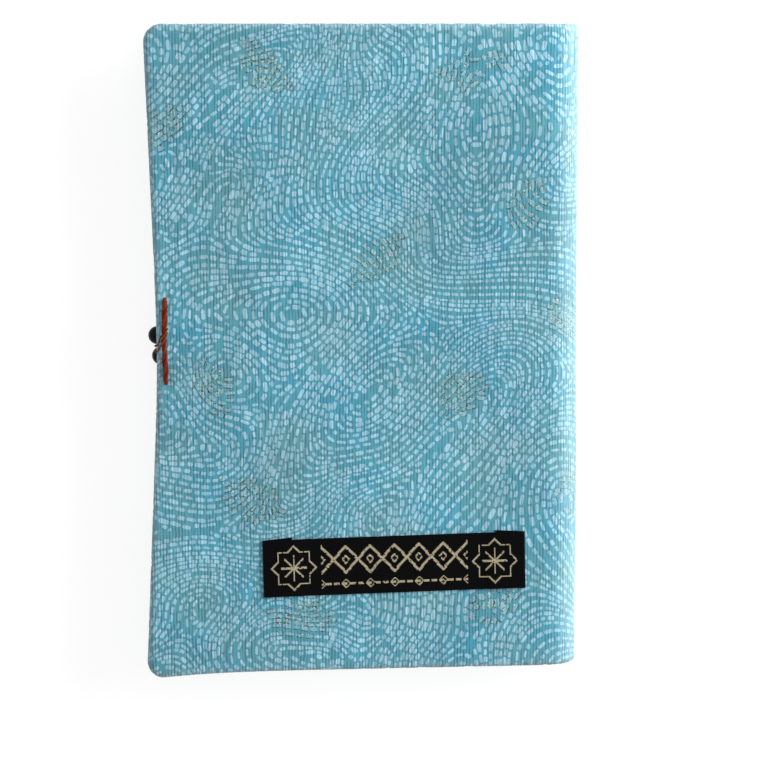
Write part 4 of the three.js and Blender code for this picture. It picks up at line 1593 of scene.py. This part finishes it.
# %% Thread bar
STRAND_DIAMETER = 0.72
BAR_STRANDS = 3
BAR_TURN = 12.0
BAR_WAIST = 0.6
BAR_WAIST_REACH = 4.5
BAR_END_SPREAD = 0.4
BAR_SPREAD_GAIN = 0.72
BAR_TOGETHER = 1.2
BAR_OPENS_OVER = 3
BAR_DIP = 0.4
BAR_SHOULDER = (0.5, 0.1)
BAR_LIES_FROM = 2.5
BAR_ARCH = (2.8, 0.05)
STRAND_TWIST = 3.0
bar_middle_y = sum(BAR_ENDS) / 2
bar_middle = (bar_low[0] + BAR_DIAMETER / 2, bar_middle_y, bar_high[2] - BAR_DIAMETER / 2)
bar_lie = BOOK_TOP + BAR_DIAMETER / 2
bar_corners = []
for end_y in BAR_ENDS:
    inward = 1 if end_y < bar_middle_y else -1
    half_bar = [
        (BAR_X, end_y, bar_low[2]),
        (BAR_X, end_y, BOOK_TOP - BAR_DIP),
        (BAR_X, end_y + BAR_SHOULDER[0] * inward, bar_lie - BAR_SHOULDER[1]),
        (BAR_X, end_y + BAR_LIES_FROM * inward, bar_lie),
        (bar_middle[0], bar_middle_y - BAR_ARCH[0] * inward, bar_middle[2] - BAR_ARCH[1]),
    ]
    bar_corners += half_bar if not bar_corners else [bar_middle] + half_bar[::-1]
bar_line = smooth_path(bar_corners)
from_end = np.minimum(np.arange(len(bar_line)), np.arange(len(bar_line))[::-1]) * THREAD_STEP
bar_opens = np.clip((from_end - BAR_TOGETHER) / BAR_OPENS_OVER, 0, 1)
bar_spread = STRAND_DIAMETER / 2 * (BAR_END_SPREAD + BAR_SPREAD_GAIN * bar_opens)
from_loop = np.abs(bar_line[:, 1] - bar_middle_y)
bar_spread = bar_spread * (BAR_WAIST + (1 - BAR_WAIST) * np.clip(from_loop / BAR_WAIST_REACH, 0, 1) ** 2)
strands = wind(bar_line, False, BAR_STRANDS, bar_spread, BAR_TURN)
bar = make_thread("thread_bar", strands, STRAND_DIAMETER, 3, STRAND_TWIST, rust_thread)
settle(bar, "closure_bar", "back_cover")

# %% [markdown]
# ## Beads
#
# Two round beads of black glass sit on one short thread, whose shank is sewn into the edge of the front
# cover. Pressed glass is polished in the fire, so it is as smooth as a lens and shows one sharp light. The
# beads are turned from a profile: a round outside, a soft lip and a straight bore. A ready-made ball has no
# hole for the thread, which is why they are turned, as on a lathe.

# %% Black glass
BEAD_COLOURS = ("#040405", "#09090b")
BEAD_FLOW = 1.5
BEAD_POLISH = (0.08, 0.16)
BEAD_RELIEF = 0.05
BEAD_STRENGTH = 0.15
BEAD_GLOSS = {"IOR": 1.52, "Specular IOR Level": 0.09}


def black_glass_material():
    # Fire-polished glass: black all through, one clear reflection, with the faintest waviness in it.
    material, tree, shader = new_material("glass, opaque black, fire-polished")
    place = add_node(tree, "TexCoord", out="Object")
    flow = add_node(tree, "TexNoise", {"Vector": place, "Scale": 1 / (BEAD_FLOW * MM), "Detail": 1.0}, "Fac")
    black = add_node(tree, "Mix", {"Factor": flow, **colours(*BEAD_COLOURS)}, **COLOUR_MIX)
    polish = add_node(tree, "MapRange", {"Value": flow, **to(*BEAD_POLISH)})
    height = {"Height": flow, "Strength": BEAD_STRENGTH, "Distance": BEAD_RELIEF * MM}
    relief = add_node(tree, "Bump", height)
    set_inputs(tree, shader, {"Base Color": black, "Roughness": polish, "Normal": relief, **BEAD_GLOSS})
    return material


black_glass = black_glass_material()
print("material:", black_glass.name)

# %% Beads
BEAD_BORE = 1.1
BEAD_LIP = 0.16
BEAD_TURNS = 48
BEAD_ROUND_POINTS = 30
BEAD_LIP_POINTS = 6
TOGGLE_TILT = math.radians(9.4)
upper_low, upper_high = box_mm("bead_upper")
lower_low, lower_high = box_mm("bead_lower")
bead_places = {
    "glass_bead_upper": (np.add(upper_low, upper_high) / 2, "bead_upper"),
    "glass_bead_lower": (np.add(lower_low, lower_high) / 2, "bead_lower"),
}
BEAD_DIAMETER = upper_high[2] - upper_low[2]
toggle_way = np.array([-math.sin(TOGGLE_TILT), math.cos(TOGGLE_TILT), 0])


def bead_profile():
    """Distance from the axis and place along it, once round the glass."""
    radius = BEAD_DIAMETER / 2
    lip_radius = BEAD_BORE / 2 + BEAD_LIP
    lip_angle = math.acos(lip_radius / radius)
    lip_height = radius * math.sin(lip_angle)
    round_angles = np.linspace(-lip_angle, lip_angle, BEAD_ROUND_POINTS)
    profile = [(radius * math.cos(a), radius * math.sin(a)) for a in round_angles]
    upper_lip = np.linspace(math.pi / 2, math.pi, BEAD_LIP_POINTS)[1:]
    lower_lip = np.linspace(math.pi, 1.5 * math.pi, BEAD_LIP_POINTS)[:-1]
    for angles, middle in ((upper_lip, lip_height - BEAD_LIP), (lower_lip, BEAD_LIP - lip_height)):
        profile += [(lip_radius + BEAD_LIP * math.cos(a), middle + BEAD_LIP * math.sin(a)) for a in angles]
    return np.array(profile)


def make_bead(name, centre, node, material):
    """A bead: its profile, turned about the thread through it."""
    profile = bead_profile()
    turn = np.linspace(0, 2 * math.pi, BEAD_TURNS, endpoint=False)[:, None, None]
    across = np.array([math.cos(TOGGLE_TILT), math.sin(TOGGLE_TILT), 0])
    points = centre + profile[:, :1] * (np.cos(turn) * across + np.sin(turn) * np.array([0, 0, 1]))
    points = points + profile[:, 1:] * toggle_way
    grid = np.arange(BEAD_TURNS * len(profile)).reshape(BEAD_TURNS, len(profile))
    beside = np.roll(grid, -1, 0)
    faces = faces_from(grid, np.roll(grid, -1, 1), np.roll(beside, -1, 1), beside)
    bead = make_piece(name, points.reshape(-1, 3), faces, material)
    settle(bead, node, "front_cover")
    print(name, "at", np.round(centre, 2))


for bead_name, (bead_centre, bead_node) in bead_places.items():
    make_bead(bead_name, bead_centre, bead_node, black_glass)

# %% The beads' thread
TOGGLE_THREAD = 0.6
TOGGLE_TWIST = 1.8
SHANK_LIFT = (0.4, 0.2)
SHANK_IN_COVER = 2.2
waist = sum(place for place, _ in bead_places.values()) / 2
bead_offset = np.linalg.norm(bead_places["glass_bead_upper"][0] - waist)
toggle_reach = bead_offset + BEAD_DIAMETER / 4
front_edge_x = float(fore_edge(waist[1], "front"))
shank_z = COVER_THICKNESS / 2
shank_corners = [
    waist,
    (front_edge_x - SHANK_LIFT[0], waist[1], shank_z + SHANK_LIFT[1]),
    (front_edge_x, waist[1], shank_z),
    (front_edge_x + SHANK_IN_COVER, waist[1], shank_z),
]
toggle_lines = [
    smooth_path([waist - toggle_way * toggle_reach, waist, waist + toggle_way * toggle_reach]),
    smooth_path(shank_corners),
]
toggle = make_thread("bead_shank", toggle_lines, TOGGLE_THREAD, 3, TOGGLE_TWIST, black_thread)
settle(toggle, "bead_thread", "front_cover")

# %% [markdown]
# ## Closure loop
#
# A finer orange-brown thread is wound twice round the middle of the bar, on a long slant. Its two ends run
# together over the fore edge and round the shank between the beads, which holds the book shut. A simulated
# cord could find its own way, but a path of a few corners says exactly where it passes the edge and the
# beads.

# %% The legs of the loop
LOOP_DIAMETER = 0.44
LOOP_CLEARANCE = 0.1
LEG_OFF_COIL = 0.25
LEG_AT_COIL = 0.2
LEG_AT_EDGE = 0.85
LEG_OVER_EDGE = (0.7, 0.05)
LEG_ROUND_EDGE = (0.1, 0.1)
LEG_BELOW_EDGE = 1.3
LEG_ABOVE_SHANK = 1.2
back_edge_x = float(fore_edge(waist[1], "back"))
hang_x = back_edge_x - LOOP_DIAMETER / 2 - LOOP_CLEARANCE
leg_x = front_edge_x - LOOP_DIAMETER / 2 - LOOP_CLEARANCE
leg_half = (TOGGLE_THREAD + LOOP_DIAMETER) / 2 + LOOP_CLEARANCE
waist_spread = BAR_WAIST * (BAR_END_SPREAD + BAR_SPREAD_GAIN) / 2
coil_radius = waist_spread * STRAND_DIAMETER + STRAND_DIAMETER / 2 + LOOP_DIAMETER / 2
loop_low_z = box_mm("closure_loop")[0][2] + LOOP_DIAMETER / 2
leg_y = {side: waist[1] + side * leg_half for side in (1, -1)}


def leg(side, from_y):
    """From the coil over the edge of the back cover and down to the shank."""
    y = leg_y[side]
    sideways = y - from_y
    off_coil = bar_middle[0] - coil_radius - LEG_OFF_COIL
    over_z = BOOK_TOP + LOOP_DIAMETER / 2 + LEG_OVER_EDGE[1]
    return [
        (off_coil, from_y + LEG_AT_COIL * sideways, BOOK_TOP + LOOP_DIAMETER),
        (hang_x + LEG_OVER_EDGE[0], from_y + LEG_AT_EDGE * sideways, over_z),
        (hang_x + LEG_ROUND_EDGE[0], y, BOOK_TOP - LEG_ROUND_EDGE[1]),
        (hang_x, y, BOOK_TOP - LEG_BELOW_EDGE),
        (hang_x, y, BOOK_TOP - COVER_THICKNESS),
        (leg_x, y, upper_high[2]),
        (leg_x, y, loop_low_z + LEG_ABOVE_SHANK),
        (leg_x, y, loop_low_z),
    ]


print("the loop hangs", round(back_edge_x - hang_x, 2), "mm off the back cover")

# %% Closure loop
LOOP_WINDINGS = 2
LOOP_SLANT = 3.0
LOOP_WINDING_STEP = 1.0
LOOP_ABOVE_MIDDLE = 1.0
LOOP_TWIST = 1.5
LOOP_TURN_POINTS = 24
coil_low_y = bar_middle_y + LOOP_ABOVE_MIDDLE - (LOOP_SLANT + LOOP_WINDING_STEP * (LOOP_WINDINGS - 1)) / 2


def winding(first_y):
    """Once round the bar: from its left side over the top on a slant, and straight back underneath."""
    points = []
    for angle in np.linspace(math.pi, -math.pi, LOOP_TURN_POINTS, endpoint=False):
        share = (1 - math.cos(math.pi - angle)) / 2
        rise = LOOP_SLANT if angle > 0 else LOOP_SLANT - LOOP_WINDING_STEP
        y = first_y + share * rise if angle > 0 else first_y + LOOP_WINDING_STEP + share * rise
        x = bar_middle[0] + coil_radius * math.cos(angle)
        points.append((x, y, bar_middle[2] + coil_radius * math.sin(angle)))
    return points


coil = []
for k in range(LOOP_WINDINGS):
    coil += winding(coil_low_y + k * LOOP_WINDING_STEP)
loop_corners = leg(-1, coil[0][1])[::-1] + coil + leg(1, coil[-1][1])
loop_line = smooth_path(loop_corners, closed=True)
loop = make_thread("closure_thread", [loop_line], LOOP_DIAMETER, 2, LOOP_TWIST, brown_thread, True)
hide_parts("closure_loop")
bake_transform(loop)

# %% [markdown]
# ## Woven label
#
# The label is a narrow satin ribbon, woven black with a pale gold weft. Its two ends are folded under, a
# little askew, so that each shows as a thin wedge above the top edge. The pattern is a plain ornament of
# stars and linked lozenges. A loom can only draw in steps, one warp thread at a time, so the ornament is
# set out on a grid of cells a quarter of a millimetre wide, and each face of the mesh is one cell.

# %% Drawing the ornament
LABEL_LENGTH = 60.8
LABEL_HEIGHT = 13.4
LABEL_CELL = 0.26
LABEL_LINE = 0.2
STAR_PLACE = 23.5
STAR_RADIUS = 4.6
STAR_SQUARE = 1.25
STAR_LOZENGE = 0.885
STAR_SPOKES = 0.62
BAND_HALF = 17.2
LINK_STEP = 5.7
LINK_Y = 1.6
LINK_HALF_HEIGHT = 3.1
LINK_LEVEL = 1.5
EYE_FLATNESS = 0.8
EYE_SIZE = 0.75
STITCH_Y = -4.1
STITCH_STEP = 1.9
STITCH_START = 0.9
STITCH_LENGTH = 1.25
KNOT_SIZE = 1.0
MISSED_SHARE = 0.06
MISSED_SEED = 7
label_columns = round(LABEL_LENGTH / LABEL_CELL)
label_rows = round(LABEL_HEIGHT / LABEL_CELL)
cell_x, cell_y = np.meshgrid(
    (np.arange(label_columns) + 0.5) / label_columns * LABEL_LENGTH - LABEL_LENGTH / 2,
    (np.arange(label_rows) + 0.5) / label_rows * LABEL_HEIGHT - LABEL_HEIGHT / 2,
    indexing="ij",
)
label_draw = np.random.default_rng(MISSED_SEED)


def near_level(value, level):
    return np.abs(value - level) < LABEL_LINE


def star(x, y, radius):
    """Eight-pointed star in outline: a square and a lozenge laid on each other, and eight spokes inside."""
    square = np.maximum(np.abs(x), np.abs(y)) * STAR_SQUARE
    lozenge = (np.abs(x) + np.abs(y)) * STAR_LOZENGE
    inward = np.minimum(square, lozenge)
    spokes = near_level(np.abs(x) - np.abs(y), 0) | near_level(x, 0) | near_level(y, 0)
    return near_level(inward, radius) | (spokes & (inward < radius * STAR_SPOKES))


def label_ornament():
    """A star at each end, and between them linked lozenges over a line of stitches with knots."""
    stars = [star(cell_x - centre, cell_y, STAR_RADIUS) for centre in (-STAR_PLACE, STAR_PLACE)]
    across = np.abs((cell_x + LINK_STEP / 2) % LINK_STEP - LINK_STEP / 2)
    link_y = np.abs(cell_y - LINK_Y)
    lozenges = near_level(LINK_LEVEL * (across / (LINK_STEP / 2) + link_y / LINK_HALF_HEIGHT), LINK_LEVEL)
    eyes = near_level(across + link_y * EYE_FLATNESS, EYE_SIZE)
    stitch_y = np.abs(cell_y - STITCH_Y)
    stitches = (stitch_y < LABEL_LINE) & ((cell_x + STITCH_START) % STITCH_STEP < STITCH_LENGTH)
    knots = near_level(across + stitch_y, KNOT_SIZE)
    band = np.abs(cell_x) < BAND_HALF
    return stars[0] | stars[1] | (band & (lozenges | eyes | stitches | knots))


ornament = label_ornament() & (label_draw.random(cell_x.shape) > MISSED_SHARE)
print("label grid", ornament.shape, "cells,", int(ornament.sum()), "gold")

# %% [markdown]
# The ribbon follows a path: along the top, round a tight fold and back underneath. The fold and the part
# underneath have cells of their own. Gold cells stand out from the satin by a few hundredths of a
# millimetre.

# %% The path of the ribbon
LABEL_FLAP = 6.6
LABEL_FOLD_RADIUS = 0.16
LABEL_LIFT = 0.17
LABEL_SAG = 0.28
LABEL_SAG_REACH = 4
LABEL_FOLD_POINTS = 9
LABEL_FLAP_POINTS = 26


def label_path():
    """Along the ribbon: place on the label, height over the cloth, angle out of it and share of the flap."""
    top_x = np.linspace(-LABEL_LENGTH / 2, LABEL_LENGTH / 2, label_columns + 1)
    sag = np.clip((LABEL_LENGTH / 2 - LABEL_FLAP - np.abs(top_x)) / LABEL_SAG_REACH, 0, 1)
    upper = LABEL_LIFT + 2 * LABEL_FOLD_RADIUS
    top = [(x, upper - LABEL_SAG * s * s * (3 - 2 * s), math.pi / 2, 0.0) for x, s in zip(top_x, sag)]
    fold_angles = np.linspace(math.pi / 2, -math.pi / 2, LABEL_FOLD_POINTS)[1:]
    reach = np.linspace(0, 1, LABEL_FLAP_POINTS)[1:]
    right = []
    for a in fold_angles:
        place = LABEL_LENGTH / 2 + LABEL_FOLD_RADIUS * math.cos(a)
        right.append((place, upper - LABEL_FOLD_RADIUS * (1 - math.sin(a)), a, 0.0))
    lower = upper - 2 * LABEL_FOLD_RADIUS
    right += [(LABEL_LENGTH / 2 - LABEL_FLAP * r, lower, -math.pi / 2, r) for r in reach]
    left = [(-x, z, math.pi - a, r) for x, z, a, r in right]
    return np.array(left[::-1] + top + right), len(left)


print("points along the ribbon:", len(label_path()[0]))

# %% [markdown]
# The satin is soft and nearly matt, so the eye sees its fine ribs and not much shine. The gold could be a
# picture that is laid on the ribbon. Here each cell of the mesh says whether it is gold, so the ornament
# has the stepped edges that a loom gives it.

# %% Satin
SATIN_COLOURS = ("#030304", "#08080a")
WEFT_COLOURS = ("#7d7150", "#d6ccb0")
RIB_WIDTH = 0.35
RIB_RELIEF = 0.06
RIB_STRENGTH = 0.35
RIB_WAVERS = {"Distortion": 0.8, "Detail": 1.0}
WEFT_GRAIN = 0.4
SATIN_ROUGHNESS = (0.5, 0.75)
SATIN_SPECULAR = 0.04


def satin():
    # Woven satin: nearly black, with fine ribs across it. Gold weft floats catch more light than the satin.
    # The ribs are drawn at 0.35 mm, coarser than the real ones, so that they show.
    material, tree, shader = new_material("polyester ribbon, satin woven, black and gold")
    place = add_node(tree, "TexCoord", out="Object")
    gold = add_node(tree, "Attribute", out="Fac", attribute_name="gold_weft")
    side_by_side = {"Vector": place, "Scale": BAND_SCALE / (RIB_WIDTH * MM), **RIB_WAVERS}
    ribs = add_node(tree, "TexWave", side_by_side, bands_direction="X", **BANDS)
    fine = {"Vector": place, "Scale": 1 / (WEFT_GRAIN * MM), "Detail": 2.0}
    grain = add_node(tree, "TexNoise", fine, "Fac")
    black = add_node(tree, "Mix", {"Factor": ribs, **colours(*SATIN_COLOURS)}, **COLOUR_MIX)
    weft = add_node(tree, "Mix", {"Factor": grain, **colours(*WEFT_COLOURS)}, **COLOUR_MIX)
    woven = add_node(tree, "Mix", {"Factor": gold, "A": black, "B": weft}, **COLOUR_MIX)
    polish = add_node(tree, "MapRange", {"Value": grain, **to(*SATIN_ROUGHNESS)})
    height = {"Height": ribs, "Strength": RIB_STRENGTH, "Distance": RIB_RELIEF * MM}
    relief = add_node(tree, "Bump", height)
    looks = {"Base Color": woven, "Roughness": polish, "Normal": relief, "Specular IOR Level": SATIN_SPECULAR}
    set_inputs(tree, shader, looks)
    return material


ribbon_satin = satin()
print("material:", ribbon_satin.name)

# %% Making the label
LABEL_TURN = math.radians(1.1)
LABEL_THICKNESS = 0.2
LABEL_SKEW = 0.47
LABEL_RAISED = 0.05
label_low, label_high = box_mm("woven_label")
label_centre = np.add(label_low, label_high)[:2] / 2


def make_label():
    """The folded ribbon as one mesh, with its gold cells raised."""
    path, first_top = label_path()
    count = len(path)
    v = np.linspace(-LABEL_HEIGHT / 2, LABEL_HEIGHT / 2, label_rows + 1)
    place, height, angle, flap = (column[:, None] for column in path.T)
    raised = np.zeros((count, len(v)))
    corner_gold = np.zeros((label_columns + 1, len(v)), bool)
    for i in (0, 1):
        for k in (0, 1):
            corner_gold[i : i + label_columns, k : k + label_rows] |= ornament
    raised[first_top : first_top + label_columns + 1] = LABEL_RAISED * corner_gold
    along_y = v + LABEL_SKEW * flap

    def side_points(offset):
        out = offset + (raised if offset > 0 else 0)
        x = place + np.cos(angle) * out
        z = height + np.sin(angle) * out
        x, y = np.broadcast_arrays(x, along_y)
        book_x = label_centre[0] + x * math.cos(LABEL_TURN) - y * math.sin(LABEL_TURN)
        book_y = label_centre[1] + x * math.sin(LABEL_TURN) + y * math.cos(LABEL_TURN)
        return np.stack([book_x, book_y, BOOK_TOP + z + swell(book_x, book_y, "back")], -1)

    points = np.stack([side_points(LABEL_THICKNESS / 2), side_points(-LABEL_THICKNESS / 2)])
    grid = np.arange(2 * count * len(v)).reshape(2, count, len(v))

    face, reverse = (np.array(quads(side))[:, [0, 3, 2, 1]].tolist() for side in grid)
    gold = np.zeros((count - 1, label_rows))
    gold[first_top : first_top + label_columns] = ornament
    faces = face + [corners[::-1] for corners in reverse]
    walls = rim_edges(face)
    below = count * len(v)
    faces += [[end, start, start + below, end + below] for start, end in walls]
    piece = make_piece("woven_ribbon", points.reshape(-1, 3), faces, ribbon_satin)
    add_inks(piece, gold_weft=gold.ravel())
    keep_sharp(piece, [*walls, *[(start + below, end + below) for start, end in walls]])
    settle(piece, "woven_label", "back_cover")


make_label()
